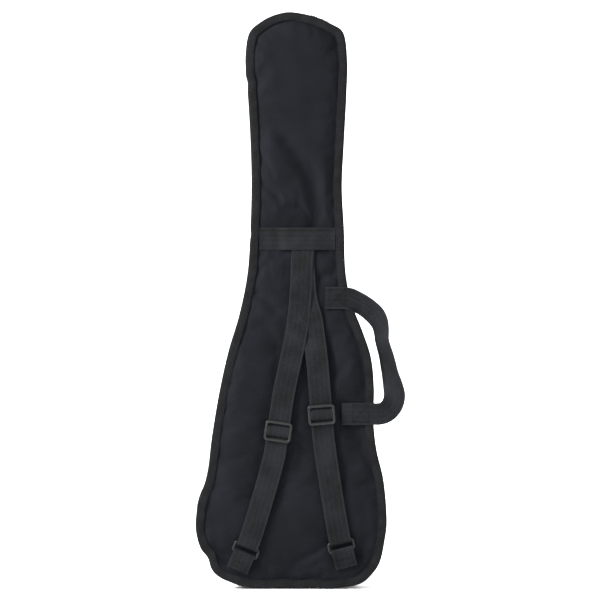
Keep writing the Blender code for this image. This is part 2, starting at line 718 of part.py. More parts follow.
def build_handle():
    """Two sewn anchors on the back panel and the loop between them, which swings at the bag's edge."""
    out = BINDING_PROUD + CLEARANCE + HANDLE_WEBBING / 2
    upper, lower = handle_exit(HANDLE_UPPER_HEIGHT), handle_exit(HANDLE_LOWER_HEIGHT)
    run = (upper - lower) / (upper - lower)[2]             # along the hinge, per unit of height
    half = np.array([0.0, 0.0, WEBBING_WIDTH / 2])
    slanted = run * WEBBING_WIDTH / 2                      # the webbing bends along the hinge
    starts = {
        "upper": max(upper[0] - HANDLE_UPPER_ANCHOR, strap_edge(RIGHT, HANDLE_UPPER_HEIGHT)),
        "lower": lower[0] - HANDLE_LOWER_ANCHOR,
    }
    for name, end in (("upper", upper), ("lower", lower)):
        start = np.array([starts[name], 0.0, end[2]])
        centres = [point + OUTWARD * out for point in (start, end)]
        ribbon(f"{name}_handle_anchor", centres, [half, slanted], HANDLE_WEBBING, "webbing")

    # Stations of the loop: reach past an exit, height, the way the webbing's width points (degrees
    # from +Z towards +X), and how far it is turned out of the panel's plane
    loop = [
        (upper[0] + 0.011, upper[2] - 0.002, 10, 0),
        (upper[0] + 0.022, upper[2] - 0.012, 42, 8),
        (upper[0] + 0.034, upper[2] - 0.031, 66, 30),
        (upper[0] + 0.042, upper[2] - 0.058, 80, 50),
        (lower[0] + 0.016, lower[2] + 0.108, 80, 52),
        (lower[0] + 0.024, lower[2] + 0.072, 78, 42),
        (lower[0] + 0.031, lower[2] + 0.045, 80, 22),
        (lower[0] + 0.034, lower[2] + 0.024, 92, 4),
        (lower[0] + 0.030, lower[2] + 0.009, 122, 0),
        (lower[0] + 0.018, lower[2] + 0.001, 160, 0),
        (lower[0] + 0.008, lower[2], 178, 0),
    ]
    centres, halves = [], []
    for x, z, heading, turned in loop:
        heading, turned = math.radians(heading), math.radians(turned)
        flat = np.array([math.sin(heading), 0.0, math.cos(heading)]) * math.cos(turned)
        centres.append(np.array([x, -out, z]))
        halves.append((flat + OUTWARD * math.sin(turned)) * WEBBING_WIDTH / 2)
    gap = np.array([HANDLE_HINGE_GAP, 0.0, 0.0])
    centres = [upper + gap + OUTWARD * out, *centres, lower + gap + OUTWARD * out]
    halves = [slanted, *halves, -slanted]
    stations = np.hstack([centres, halves])
    smooth = smooth_closed(stations, HANDLE_STEPS)[:HANDLE_STEPS * (len(stations) - 1) + 1]
    middle = (upper + lower) / 2 + OUTWARD * out
    empty = axis_empty("carry_handle_axis", middle, math.atan2(run[0], run[2]))
    hang_on(empty, [ribbon("carry_handle", smooth[:, :3], smooth[:, 3:], HANDLE_WEBBING, "webbing")])


# ---------------------------------------------------------------- zip sliders
ARCH_TUNNEL = PULL_WIRE + 2 * PULL_SLACK
SLIDER_GAP = CLEARANCE


def build_slider(prefix, empty, stand, hanging):
    """A slider plate with an arch across it, and a wire ring pull through the arch.

    The empty's local X is the slider's run, and it stands out along local Z, from stand upwards.
    """
    plate = box(
        f"{prefix}_slider", (SLIDER_LENGTH, SLIDER_WIDTH, SLIDER_PLATE),
        (0.0, 0.0, stand + SLIDER_GAP + SLIDER_PLATE / 2), empty, bevel=0.0005,
    )
    finish(plate, "plastic", empty)
    arch_height = ARCH_TUNNEL + SLIDER_ARCH_BAR
    base = stand + SLIDER_GAP + SLIDER_PLATE
    arch = box(
        f"{prefix}_slider_arch", (SLIDER_ARCH_LENGTH, SLIDER_ARCH_WIDTH, arch_height + SLIDER_PLATE / 2),
        (0.0, 0.0, base + (arch_height - SLIDER_PLATE / 2) / 2), empty,
    )
    combine(plate, arch, "UNION")
    tunnel = box(
        f"{prefix}_slider_tunnel", (SLIDER_LENGTH, ARCH_TUNNEL + 0.0016, ARCH_TUNNEL),
        (0.0, 0.0, base + ARCH_TUNNEL / 2), empty,
    )
    combine(plate, tunnel, "DIFFERENCE")
    pivot = axis_empty(f"{prefix}_pull_axis", (0.0, 0.0, base + ARCH_TUNNEL / 2), parent=empty)
    pivot.rotation_euler = (math.radians(-90.0) if hanging else 0.0, 0.0, 0.0)
    bpy.ops.mesh.primitive_torus_add(
        major_segments=20, minor_segments=8, major_radius=PULL_RADIUS, minor_radius=PULL_WIRE / 2,
        location=(0.0, 0.0, PULL_RADIUS), rotation=(math.pi / 2, 0.0, 0.0),
    )
    ring = bpy.context.object
    ring.name = f"{prefix}_pull"
    for home in list(ring.users_collection):
        home.objects.unlink(ring)
    finish(ring, "steel", pivot)
    ring.data.shade_smooth()


def build_main_sliders():
    coil = ZIP_INSET + ZIP_TAPE - ZIP_COIL
    centre = (NECK_END_MIDDLE, BAG_DEPTH / 2, BAG_LENGTH - NECK_END_RADIUS)
    for side, degrees in MAIN_SLIDERS.items():
        empty = axis_empty(f"{side}_zip_run_axis", centre, math.radians(degrees))
        build_slider(f"{side}_zip", empty, NECK_END_RADIUS - coil, False)


# ---------------------------------------------------------------- front pocket
def pocket_outline(low, high):
    """The pocket's outline between two heights, its sides parallel to the bag's edge."""
    points = inset_outline(POCKET_SIDE_INSET)
    between = (points[:, 1] > low + POCKET_CORNER) & (points[:, 1] < high - POCKET_CORNER)
    right = points[between & (points[:, 0] > 0)][::4]
    left = points[between & (points[:, 0] < 0)][::4]
    ends = {
        height: [edge_x(side, height, POCKET_SIDE_INSET) for side in (LEFT, RIGHT)]
        for height in (low, high)
    }
    return [
        (ends[low][0], low), (ends[low][1], low), *right,
        (ends[high][1], high), (ends[high][0], high), *left,
    ]


def build_pocket():
    mouth = FOLD_HEIGHT + POCKET_MOUTH
    outer, rim = BAG_DEPTH + POCKET_DEPTH, BAG_DEPTH + CLEARANCE
    low, high = mouth - POCKET_ZIP_SHOWN, mouth + POCKET_ZIP_SHOWN

    def along(height):
        return lambda a, b: abs(a.z - height) < 1e-6 and abs(b.z - height) < 1e-6

    tray(
        "pocket_panel", pocket_outline(FOLD_HEIGHT + POCKET_FOOT, low), outer, rim,
        FABRIC, along(low), "fabric",
    )
    tray(
        "pocket_header", pocket_outline(high, mouth + POCKET_HEADER), outer, rim,
        FABRIC, along(high), "fabric",
    )
    tape_outer = outer - FABRIC - CLEARANCE
    tape_inner = tape_outer - ZIP_TAPE
    coil_outer = tape_inner + ZIP_COIL
    left = edge_x(LEFT, mouth, POCKET_SIDE_INSET) + FABRIC + POCKET_TAPE_END
    right = edge_x(RIGHT, mouth, POCKET_SIDE_INSET) - FABRIC - POCKET_TAPE_END
    for name, way in (("lower", -1.0), ("upper", 1.0)):
        meet, coil, end = CLEARANCE / 2, CLEARANCE / 2 + ZIP_COIL, ZIP_TAPE_WIDTH * 0.7
        section = [
            (tape_inner, end), (tape_outer, end), (tape_outer, coil), (coil_outer, coil),
            (coil_outer, meet), (tape_inner, meet),
        ]
        points = [(y, way * z) for y, z in section]
        flat_outline(
            f"pocket_zip_{name}", points, right - left, (math.pi / 2, 0.0, math.pi / 2),
            ((left + right) / 2, 0.0, mouth), "tape",
        )
    # the slider stands on the coil's face and runs along X
    empty = axis_empty("pocket_zip_run_axis", (right - SLIDER_LENGTH, coil_outer, mouth))
    empty.rotation_euler = (math.radians(-90.0), 0.0, 0.0)
    build_slider("pocket", empty, 0.0, True)
    hang_on(FRONT, [empty])


def moves_with_front(thing):
    """True for the pieces of the front half, above the fold."""
    return thing.name.startswith(("front_", "pocket_")) and thing.type != "EMPTY"


clear_scene()
PARTS = collection("padded_gig_bag")
CUTTERS = collection("cutters")
BAG = bpy.data.objects.new("gig_bag", None)
BAG.location = (0.0, 0.0, -NECK_BAND_HEIGHT)
PARTS.objects.link(BAG)

FRONT = axis_empty("front_opening_axis", (0.0, HINGE_Y, FOLD_HEIGHT))

build_halves()
build_neck_band()
for strap_side in (LEFT, RIGHT):
    build_strap(strap_side)
    build_tab(strap_side)
    build_ring(strap_side)
    build_adjuster(strap_side)
build_handle()
build_main_sliders()
build_pocket()
hang_on(FRONT, [thing for thing in PARTS.objects if thing.parent is BAG and moves_with_front(thing)])
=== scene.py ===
"""Looks of a padded gig bag: quilted panels, woven tapes, webbing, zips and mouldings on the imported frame.

Metres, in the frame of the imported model: the back panel is the plane y = 0 with the straps on its -Y
side, +Z runs to the neck end, and the origin is the middle of the neck band.
"""

import sys

import logging
import math
from dataclasses import dataclass, field
from enum import Enum

import bpy
import numpy as np
from mathutils import Matrix, Vector, noise


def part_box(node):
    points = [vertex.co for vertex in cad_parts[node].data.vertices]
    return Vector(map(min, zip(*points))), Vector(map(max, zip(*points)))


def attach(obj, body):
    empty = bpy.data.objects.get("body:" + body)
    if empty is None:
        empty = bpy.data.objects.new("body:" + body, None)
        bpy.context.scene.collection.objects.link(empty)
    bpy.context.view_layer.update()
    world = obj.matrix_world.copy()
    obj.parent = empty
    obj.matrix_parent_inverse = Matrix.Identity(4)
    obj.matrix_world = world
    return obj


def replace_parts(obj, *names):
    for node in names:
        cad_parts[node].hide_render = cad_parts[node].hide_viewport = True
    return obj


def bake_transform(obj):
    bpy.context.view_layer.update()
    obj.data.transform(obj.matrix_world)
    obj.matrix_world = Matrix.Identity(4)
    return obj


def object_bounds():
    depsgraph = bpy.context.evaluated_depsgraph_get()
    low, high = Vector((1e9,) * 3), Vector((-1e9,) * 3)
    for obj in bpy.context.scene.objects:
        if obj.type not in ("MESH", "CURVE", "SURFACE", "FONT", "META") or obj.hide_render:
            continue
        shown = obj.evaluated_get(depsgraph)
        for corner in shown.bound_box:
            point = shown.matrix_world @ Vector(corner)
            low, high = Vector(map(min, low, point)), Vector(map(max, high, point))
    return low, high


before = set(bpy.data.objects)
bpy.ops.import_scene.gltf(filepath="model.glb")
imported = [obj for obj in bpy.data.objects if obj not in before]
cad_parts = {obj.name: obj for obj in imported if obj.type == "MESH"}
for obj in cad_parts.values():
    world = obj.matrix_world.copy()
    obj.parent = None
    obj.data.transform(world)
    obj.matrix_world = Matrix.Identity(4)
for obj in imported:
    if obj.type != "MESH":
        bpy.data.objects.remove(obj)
CAD_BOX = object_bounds()
LOG = logging.getLogger("gig_bag")

Array = np.ndarray
Thing = bpy.types.Object
Tree = bpy.types.NodeTree
Socket = bpy.types.NodeSocket
MM = 0.001
BACKWARDS = np.array([0.0, -1.0, 0.0])      # out of the back panel
FORWARDS = -BACKWARDS


class Side(Enum):
    """The bag's two sides, as seen from the strap side."""

    LEFT = "left"
    RIGHT = "right"

    @property
    def sign(self) -> int:
        """+1 for the side at +X."""
        return 1 if self is Side.RIGHT else -1


class Run(Enum):
    """How much of the bag's edge a strip follows."""

    WHOLE = "whole"
    ABOVE = "above the fold"
    BELOW = "below the fold"


# ------------------------------------------------------------------------------ numbers and curves
def smoothstep(share: Array) -> Array:
    """0 below 0, 1 above 1, and a smooth step between."""
    share = np.clip(share, 0.0, 1.0)
    return share * share * (3.0 - 2.0 * share)


def unit(vectors: Array) -> Array:
    """The vectors at length one."""
    vectors = np.asarray(vectors, float)
    return vectors / np.linalg.norm(vectors, axis=-1, keepdims=True)


def curve_through(points: Array, steps: int = 12, closed: bool = False) -> Array:
    """A smooth curve through points.

    Args:
        points: rows of any number of values.
        steps: how many points each span gets.
        closed: whether the last point joins the first.

    Returns:
        The curve's points, row by row.
    """
    p = np.array(points, float)
    if not closed:
        p = np.vstack([2 * p[0] - p[1], p, 2 * p[-1] - p[-2]])
    count = len(p)
    spans = range(count) if closed else range(1, count - 2)
    out = []
    for i in spans:
        a, b, c, d = (p[(i + k) % count] for k in (-1, 0, 1, 2))
        ta = 0.0
        tb = ta + math.sqrt(np.linalg.norm(b - a))
        tc = tb + math.sqrt(np.linalg.norm(c - b))
        td = tc + math.sqrt(np.linalg.norm(d - c))
        for t in np.linspace(tb, tc, steps, endpoint=False):
            ab = ((tb - t) * a + (t - ta) * b) / (tb - ta)
            bc = ((tc - t) * b + (t - tb) * c) / (tc - tb)
            cd = ((td - t) * c + (t - tc) * d) / (td - tc)
            abc = ((tc - t) * ab + (t - ta) * bc) / (tc - ta)
            bcd = ((td - t) * bc + (t - tb) * cd) / (td - tb)
            out.append(((tc - t) * abc + (t - tb) * bcd) / (tc - tb))
    if not closed:
        out.append(p[-2])
    return np.array(out)


def lengths_along(points: Array) -> Array:
    """How far along a route each of its points is."""
    return np.concatenate([[0.0], np.cumsum(np.linalg.norm(np.diff(points, axis=0), axis=1))])


def evenly(points: Array, step: float, values: int = 3) -> Array:
    """The route again with its points about a step apart, measured over its first values."""
    along = lengths_along(points[:, :values])
    at = np.linspace(0.0, along[-1], max(2, round(along[-1] / step) + 1))
    return np.stack([np.interp(at, along, column) for column in points.T], axis=1)


def ripple(at: Array, pitch: float, seed: int) -> Array:
    """A smooth wave from -1 to 1 whose peaks are unevenly spaced about a pitch."""
    phases = np.random.default_rng(seed).uniform(0.0, math.tau, 4)
    rates = (1.0, 1.37, 0.61, 0.29)
    return sum(np.sin(at * math.tau / pitch * rate + turn) for rate, turn in zip(rates, phases)) / 3.2


def rumple(spots: Array, across: float, up: float, seed: float) -> Array:
    """Smooth noise, from about -1 to 1, at each (x, z) spot; its rates are patches in a metre."""
    found = [noise.noise(Vector((x * across, z * up, seed))) for x, z in spots.reshape(-1, 2)]
    return np.array(found).reshape(spots.shape[:-1])


def kept_run(keep: Array) -> list[int]:
    """The numbers of the one run of kept points on a closed route, from its first."""
    first = next(i for i in range(len(keep)) if keep[i] and not keep[i - 1])
    return [(first + k) % len(keep) for k in range(int(keep.sum()))]


def near_route(points: Array, route: Array) -> tuple[Array, Array]:
    """How far points are from a route.

    Args:
        points: (n, 2) points.
        route: (m, 2) corners of the route.

    Returns:
        The distances, and how far along the route the nearest place is, from 0 to 1.
    """
    best, where = np.full(len(points), np.inf), np.zeros(len(points))
    along = lengths_along(route)
    for i, (a, b) in enumerate(zip(route[:-1], route[1:])):
        d = b - a
        t = np.clip((points - a) @ d / max(d @ d, 1e-12), 0.0, 1.0)
        away = np.linalg.norm(points - a - t[:, None] * d, axis=1)
        closer = away < best
        best[closer] = away[closer]
        where[closer] = (along[i] + t[closer] * (along[i + 1] - along[i])) / along[-1]
    return best, where


# ------------------------------------------------------------------------------ finishes
def linear(hex_colour: str) -> tuple[float, float, float, float]:
    """An sRGB hex colour as a linear colour."""
    parts = [int(hex_colour[i:i + 2], 16) / 255 for i in (1, 3, 5)]
    r, g, b = (v / 12.92 if v <= 0.04045 else ((v + 0.055) / 1.055) ** 2.4 for v in parts)
    return r, g, b, 1.0


def add_node(tree: Tree, kind: str, inputs: dict | None = None, **settings) -> bpy.types.Node:
    """Adds a node with its settings and links.

    Args:
        tree: the material's node tree.
        kind: the node's type, without ShaderNode.
        inputs: a value or another node's output for each input, by name or number.
        **settings: the node's own properties.

    Returns:
        The node.
    """
    node = tree.nodes.new("ShaderNode" + kind)
    for name, value in settings.items():
        setattr(node, name, value)
    for name, value in (inputs or {}).items():
        if isinstance(value, Socket):
            tree.links.new(value, node.inputs[name])
        else:
            node.inputs[name].default_value = value
    return node


def calculate(tree: Tree, operation: str, *values: float | Socket) -> Socket:
    """What a maths node makes of its values."""
    return add_node(tree, "Math", dict(enumerate(values)), operation=operation).outputs[0]


def remap(tree: Tree, value: Socket, source: tuple[float, float], target: tuple[float, float]) -> Socket:
    """A value carried from one range to another and held inside it."""
    ends = dict(zip(("From Min", "From Max", "To Min", "To Max"), (*source, *target)))
    return add_node(tree, "MapRange", {"Value": value, **ends}).outputs["Result"]


def grain(tree: Tree, place: Socket, scale: float, detail: float, roughness: float = 0.5) -> Socket:
    """Noise from 0 to 1."""
    inputs = {"Vector": place, "Scale": scale, "Detail": detail, "Roughness": roughness}
    return add_node(tree, "TexNoise", inputs).outputs["Fac"]


def wave(tree: Tree, value: Socket, pitch_mm: float, turn: float | Socket = 0.0) -> Socket:
    """The sine of a length in metres, with a pitch in millimetres and a turn in radians."""
    return calculate(tree, "SINE", calculate(tree, "MULTIPLY_ADD", value, math.tau / (pitch_mm * MM), turn))


@dataclass(frozen=True)
class Finish:
    """What a surface is made of.

    A finish has a light and a dark tone that drift into each other, as dyed cloth and worn plastic do,
    and a relief that its subclasses draw. The relief also tints the tone: its raised parts are painted
    lighter and its low parts darker. On woven reliefs this is painted light and shade; on the grain of solid
    ones it is random tone.
    """

    name: str
    dark: str
    light: str
    roughness: float
    drift_mm: float = 60.0          # how large the patches of the two tones are
    # how strongly the relief tints the tone: painted light on raised parts, painted shade in hollows
    contrast: float = 0.5
    metallic: float = 0.0
    ior: float = 1.5
    specular: float = 0.5
    depth_mm: float = 0.1           # of the relief

    def relief(self, tree: Tree, flat: Socket) -> Socket:
        """The surface's height, from 0 to 1; here, fine grain."""
        return grain(tree, flat, 900.0, 2.0)

    def material(self) -> bpy.types.Material:
        """The material, made the first time that it is asked for."""
        made = bpy.data.materials.get(self.name)
        if made:
            return made
        made = bpy.data.materials.new(self.name)
        made.use_nodes = True
        tree = made.node_tree
        shader = tree.nodes["Principled BSDF"]
        flat = add_node(tree, "UVMap").outputs["UV"]
        place = add_node(tree, "TexCoord").outputs["Object"]
        height = self.relief(tree, flat)
        patches = remap(tree, grain(tree, place, 1000.0 / self.drift_mm, 3.0, 0.55), (0.32, 0.68), (0.0, 1.0))
        half = self.contrast / 2
        # the relief's height tints the tone, raised parts lighter and hollows darker: painted light and shade
        # on woven reliefs
        total = calculate(tree, "ADD", patches, remap(tree, height, (0.0, 1.0), (-half, half)))
        tone = add_node(
            tree, "Mix", {"Factor": total, 6: linear(self.dark), 7: linear(self.light)},
            data_type="RGBA", clamp_factor=True,
        )
        rough = remap(tree, height, (0.0, 1.0), (min(self.roughness + 0.08, 1.0), self.roughness - 0.05))
        bump = add_node(tree, "Bump", {"Height": height, "Strength": 0.8, "Distance": self.depth_mm * MM})
        tree.links.new(tone.outputs[2], shader.inputs["Base Color"])
        tree.links.new(rough, shader.inputs["Roughness"])
        tree.links.new(bump.outputs["Normal"], shader.inputs["Normal"])
        shader.inputs["Metallic"].default_value = self.metallic
        shader.inputs["IOR"].default_value = self.ior
        shader.inputs["Specular IOR Level"].default_value = self.specular
        return made


@dataclass(frozen=True)
class PlainWeave(Finish):
    """Plain weave: threads pass over and under each other by ones."""

    pitch_mm: float = 1.1

    def relief(self, tree: Tree, flat: Socket) -> Socket:
        """Bumps in a chequered order, blurred by uneven yarn."""
        x, y, _ = add_node(tree, "SeparateXYZ", {0: flat}).outputs
        both = calculate(tree, "MULTIPLY", wave(tree, x, self.pitch_mm), wave(tree, y, self.pitch_mm))
        return calculate(tree, "MULTIPLY_ADD", both, 0.28, grain(tree, flat, 420.0, 3.0))


@dataclass(frozen=True)
class StrapWeave(Finish):
    """Heavy webbing: floats in zigzag rows, and a plain selvedge at each side that is painted lighter, a
    painted highlight along the strap's edges.
    """

    column_mm: float = 8.4
    row_mm: float = 4.6
    half_mm: float = 19.0
    # the band at each side that is raised and painted lighter: the selvedge's painted highlight
    selvedge_highlight_mm: tuple[float, float] = (2.6, 1.8)     # from the side: where it starts and is full

    def relief(self, tree: Tree, flat: Socket) -> Socket:
        """Rows of floats that rise and fall from column to column, and a raised selvedge at each side that
        the tone turns into a painted highlight.
        """
        x, y, _ = add_node(tree, "SeparateXYZ", {0: flat}).outputs
        zigzag = calculate(tree, "PINGPONG", x, self.column_mm * MM)
        turn = calculate(tree, "MULTIPLY", zigzag, math.tau / (self.row_mm * MM))
        floats = wave(tree, y, self.row_mm, turn)
        both = calculate(tree, "MULTIPLY_ADD", wave(tree, x, self.column_mm, 1.0), 0.35, floats)
        low = calculate(tree, "MULTIPLY_ADD", both, 0.22, grain(tree, flat, 300.0, 4.0, 0.75))
        # the selvedges rise towards each side, and through the tone they get a painted highlight along the
        # strap's edges
        ends = tuple((self.half_mm - gap) * MM for gap in self.selvedge_highlight_mm)
        return calculate(tree, "ADD", low, remap(tree, calculate(tree, "ABSOLUTE", x), ends, (0.0, 0.5)))


@dataclass(frozen=True)
class RibbedTape(Finish):
    """Binding and zip tape: fine ribs across the tape."""

    rib_mm: float = 3.2

    def relief(self, tree: Tree, flat: Socket) -> Socket:
        """Ribs that run across the tape, with uneven yarn."""
        _, y, _ = add_node(tree, "SeparateXYZ", {0: flat}).outputs
        yarn = grain(tree, flat, 380.0, 3.0)
        return calculate(tree, "MULTIPLY_ADD", wave(tree, y, self.rib_mm), 0.25, yarn)


@dataclass(frozen=True)
class Solid(Finish):
    """Moulded, cast or drawn surfaces with a fine grain in space."""

    grain_mm: float = 0.8

    def relief(self, tree: Tree, flat: Socket) -> Socket:
        """Fine grain that doesn't follow the surface's map."""
        return grain(tree, add_node(tree, "TexCoord").outputs["Object"], 1000.0 / self.grain_mm, 2.0)


# 600-denier polyester with a coated back: even black cloth with a slight blue cast. Its weave hides
# nearly all of its mirror reflection. Its threads are 0.5 mm apart, drawn at 1.1 mm so that they show.
POLYESTER = PlainWeave(
    "polyester_600d", "#0a0b0f", "#101116", 0.84, drift_mm=80.0, contrast=0.8, specular=0.09, depth_mm=0.12,
)
# Polypropylene webbing, 1.4 mm: a coarser and slightly lighter black.
WEBBING = StrapWeave(
    "polypropylene_webbing", "#08090a", "#17181b", 0.7, drift_mm=40.0, contrast=1.7, specular=0.10,
    depth_mm=0.45,
)
# Woven edge tape, 0.8 mm: ribs 1.1 mm apart, drawn at 3.2 mm so that they show.
BINDING_TAPE = RibbedTape(
    "woven_edge_tape", "#0a0a0b", "#141517", 0.72, drift_mm=22.0, contrast=1.5, specular=0.09, depth_mm=0.35,
)
# Woven zip tape, 0.8 mm: the same weave, finer.
ZIP_TAPE = RibbedTape(
    "woven_zip_tape", "#111212", "#191a1a", 0.74, drift_mm=30.0, contrast=0.8, specular=0.2, depth_mm=0.15,
    rib_mm=1.2,
)
# Thin nylon taffeta: smoother than the outer cloth.
LINING = PlainWeave(
    "nylon_taffeta_lining", "#0d0e11", "#14151a", 0.7, drift_mm=90.0, specular=0.08, depth_mm=0.05,
    pitch_mm=0.8,
)
# Spun polyester sewing thread.
THREAD = Solid(
    "polyester_thread", "#080808", "#101111", 0.8, drift_mm=5.0, contrast=0.6, specular=0.05, depth_mm=0.05,
    grain_mm=0.4,
)
# Acetal, moulded: black with a satin skin that catches a pale highlight.
ACETAL = Solid(
    "moulded_acetal", "#0f0f10", "#171718", 0.36, drift_mm=12.0, contrast=0.3, ior=1.48, specular=0.34,
    depth_mm=0.02, grain_mm=0.5,
)
# Nylon monofilament, wound to a coil.
NYLON_COIL = Solid(
    "nylon_zip_coil", "#0f0f10", "#1a1a1b", 0.38, drift_mm=8.0, contrast=0.3, ior=1.53, depth_mm=0.02,
)
# Zinc, die cast and enamelled black.
ENAMEL = Solid("black_enamelled_zinc", "#0e0e0f", "#161617", 0.28, drift_mm=8.0, contrast=0.3, depth_mm=0.02)
# Steel wire, nickel plated: bright, with slightly dulled patches.
NICKEL = Solid("nickel_plated_wire", "#2c2d2f", "#505153", 0.22, drift_mm=3.0, metallic=1.0, depth_mm=0.01)
# Paper of a studio sweep.
PAPER = Solid(
    "studio_paper", "#f9f9f9", "#fbfbfb", 0.95, drift_mm=300.0, contrast=0.2, specular=0.2, depth_mm=0.05,
    grain_mm=2.0,
)


# ------------------------------------------------------------------------------ making pieces
def deselect() -> None:
    """Leaves object mode with nothing selected."""
    if bpy.context.object and bpy.context.object.mode != "OBJECT":
        bpy.ops.object.mode_set(mode="OBJECT")
    bpy.ops.object.select_all(action="DESELECT")


def choose(thing: Thing) -> Thing:
    """Makes one object the only one selected, and active."""
    deselect()
    thing.select_set(True)
    bpy.context.view_layer.objects.active = thing
    return thing


def dress(thing: Thing, finish: Finish, angle: float = 40.0) -> Thing:
    """Gives a piece its finish and smooth shading.

    Args:
        thing: the piece.
        finish: what it is made of.
        angle: edges sharper than this many degrees stay sharp.

    Returns:
        The piece.
    """
    thing.data.materials.clear()
    thing.data.materials.append(finish.material())
    choose(thing)
    bpy.ops.object.shade_smooth_by_angle(angle=math.radians(angle))
    LOG.info("%s: %d faces, %s", thing.name, len(thing.data.polygons), finish.name)
    return thing


def apply_modifier(thing: Thing, name: str) -> None:
    """Applies one modifier to its object."""
    choose(thing)
    bpy.ops.object.modifier_apply(modifier=name)


def thicken(thing: Thing, thickness: float, offset: float) -> None:
    """Gives a laid sheet its thickness; at an offset of 0 the sheet was its middle."""
    cloth = thing.modifiers.new("cloth", "SOLIDIFY")
    cloth.thickness, cloth.offset = thickness, offset
    apply_modifier(thing, cloth.name)


def join(thing: Thing, part: Thing) -> None:
    """Joins a part to a piece as one body, and uses the part up."""
    union = thing.modifiers.new("joined", "BOOLEAN")
    union.operation, union.object, union.solver = "UNION", part, "EXACT"
    apply_modifier(thing, union.name)
    bpy.data.objects.remove(part)


def bead(size: tuple[float, float, float], segments: int = 8, rings: int = 5) -> Thing:
    """A bead at the origin with its half lengths, for one stitch or one turn of a coil."""
    deselect()
    bpy.ops.mesh.primitive_uv_sphere_add(segments=segments, ring_count=rings, radius=1.0)
    thing = bpy.context.object
    bpy.ops.object.mode_set(mode="EDIT")
    bpy.ops.mesh.select_all(action="SELECT")
    bpy.ops.transform.resize(value=size)
    bpy.ops.object.mode_set(mode="OBJECT")
    return thing


def laid_grid(name: str, rows: Array, flat: Array, closed: bool = True) -> Thing:
    """Adds a grid and lays it on rows of points, as cloth is laid on a form.

    Args:
        name: the piece's name.
        rows: (n, m, 3) places of the grid's points.
        flat: (n, m, 2) the same points on the flat cloth, in metres.
        closed: whether the laid grid is a solid, whose open ends are then closed.

    Returns:
        The piece.
    """
    count, width = rows.shape[:2]
    deselect()
    bpy.ops.mesh.primitive_grid_add(x_subdivisions=width - 1, y_subdivisions=count - 1, size=1.0)
    thing = bpy.context.object
    thing.name = thing.data.name = name
    thing.data.vertices.foreach_set("co", rows.reshape(-1, 3).astype(np.float32).ravel())
    corner = np.zeros(len(thing.data.loops), np.int32)
    thing.data.loops.foreach_get("vertex_index", corner)
    layer = thing.data.uv_layers[0]
    layer.data.foreach_set("uv", flat.reshape(-1, 2)[corner].astype(np.float32).ravel())
    bpy.ops.object.mode_set(mode="EDIT")
    bpy.ops.mesh.select_all(action="SELECT")
    if closed:
        bpy.ops.mesh.remove_doubles(threshold=1e-6)
        bpy.ops.mesh.select_all(action="SELECT")
        bpy.ops.mesh.fill_holes(sides=0)
        bpy.ops.mesh.select_all(action="SELECT")
        bpy.ops.mesh.normals_make_consistent(inside=False)
    bpy.ops.object.mode_set(mode="OBJECT")
    return thing


def swept(
    name: str, centres: Array, across: Array, out: Array, section: Array, looped: bool = False,
) -> Thing:
    """Carries a closed section along a route.

    Args:
        name: the piece's name.
        centres: (n, 3) the route.
        across: (n, 3) the section's first direction at each point.
        out: (n, 3) its second direction.
        section: (m, 2) or (n, m, 2) points of the section, without the first one again.
        looped: whether the route's end joins its start.

    Returns:
        The piece, whose map has the section's first value and the length along the route.
    """
    centres, across, out = (np.asarray(a, float) for a in (centres, across, out))
    across, out = (np.broadcast_to(a, centres.shape) for a in (across, out))
    section = np.broadcast_to(np.asarray(section, float), (len(centres), *np.shape(section)[-2:]))
    section = np.concatenate([section, section[:, :1]], axis=1)
    rows = centres[:, None] + across[:, None] * section[..., :1] + out[:, None] * section[..., 1:]
    along = lengths_along(centres)
    if looped:
        rows = np.concatenate([rows, rows[:1]])
        along = np.append(along, along[-1] + np.linalg.norm(centres[0] - centres[-1]))
        section = np.concatenate([section, section[:1]])
    flat = np.stack([section[..., 0], np.broadcast_to(along[:, None], section.shape[:2])], axis=-1)
    return laid_grid(name, rows, flat)


def band_section(width: float, thickness: float, columns: int = 10) -> Array:
    """The section of woven webbing: flat, with round selvedges that stand a little thicker."""
    half, thick = width / 2, thickness / 2
    across = np.linspace(-1.0, 1.0, columns + 1)
    top = [(half * a * 0.975, thick * (0.94 + 0.06 * a**4)) for a in across]
    turns = np.linspace(0.4, math.pi - 0.4, 4)
    turn = [(half * 0.975 + thick * math.sin(t), thick * math.cos(t)) for t in turns]
    right = top + [(min(x, half), y) for x, y in turn]
    return np.array(right + [(-x, -y) for x, y in right])


def webbing(name: str, centres: Array, across: Array, width: float, thickness: float) -> Thing:
    """Woven webbing along a route.

    Args:
        name: the piece's name.
        centres: (n, 3) its middle line.
        across: the way over its width, one or one for each point.
        width: from selvedge to selvedge.
        thickness: of the webbing.

    Returns:
        The piece.
    """
    centres, across = np.asarray(centres, float), unit(across)
    along = unit(np.gradient(centres, axis=0))
    across = unit(across - along * (across * along).sum(1, keepdims=True))
    thing = swept(name, centres, across, np.cross(along, across), band_section(width, thickness))
    return dress(thing, WEBBING)


def copies(name: str, base: Thing, places: Array, turns: Array) -> Thing:
    """One mesh that holds a copy of a small shape at each place.

    Args:
        name: the piece's name.
        base: the shape, modelled once at the origin; it is used up.
        places: (n, 3) where the copies go.
        turns: (n, 3, 3) the directions of each copy's own axes, in columns.

    Returns:
        The piece.
    """
    points = np.array([v.co for v in base.data.vertices])
    faces = [tuple(p.vertices) for p in base.data.polygons]
    moved = np.einsum("nij,kj->nki", turns, points) + places[:, None]
    mesh = bpy.data.meshes.new(name)
    step = len(points)
    mesh.from_pydata(
        moved.reshape(-1, 3).tolist(), [],
        [tuple(i + step * k for i in face) for k in range(len(places)) for face in faces],
    )
    mesh.uv_layers.new(name="UVMap")
    thing = bpy.data.objects.new(name, mesh)
    bpy.context.scene.collection.objects.link(thing)
    bpy.data.objects.remove(base)
    return thing


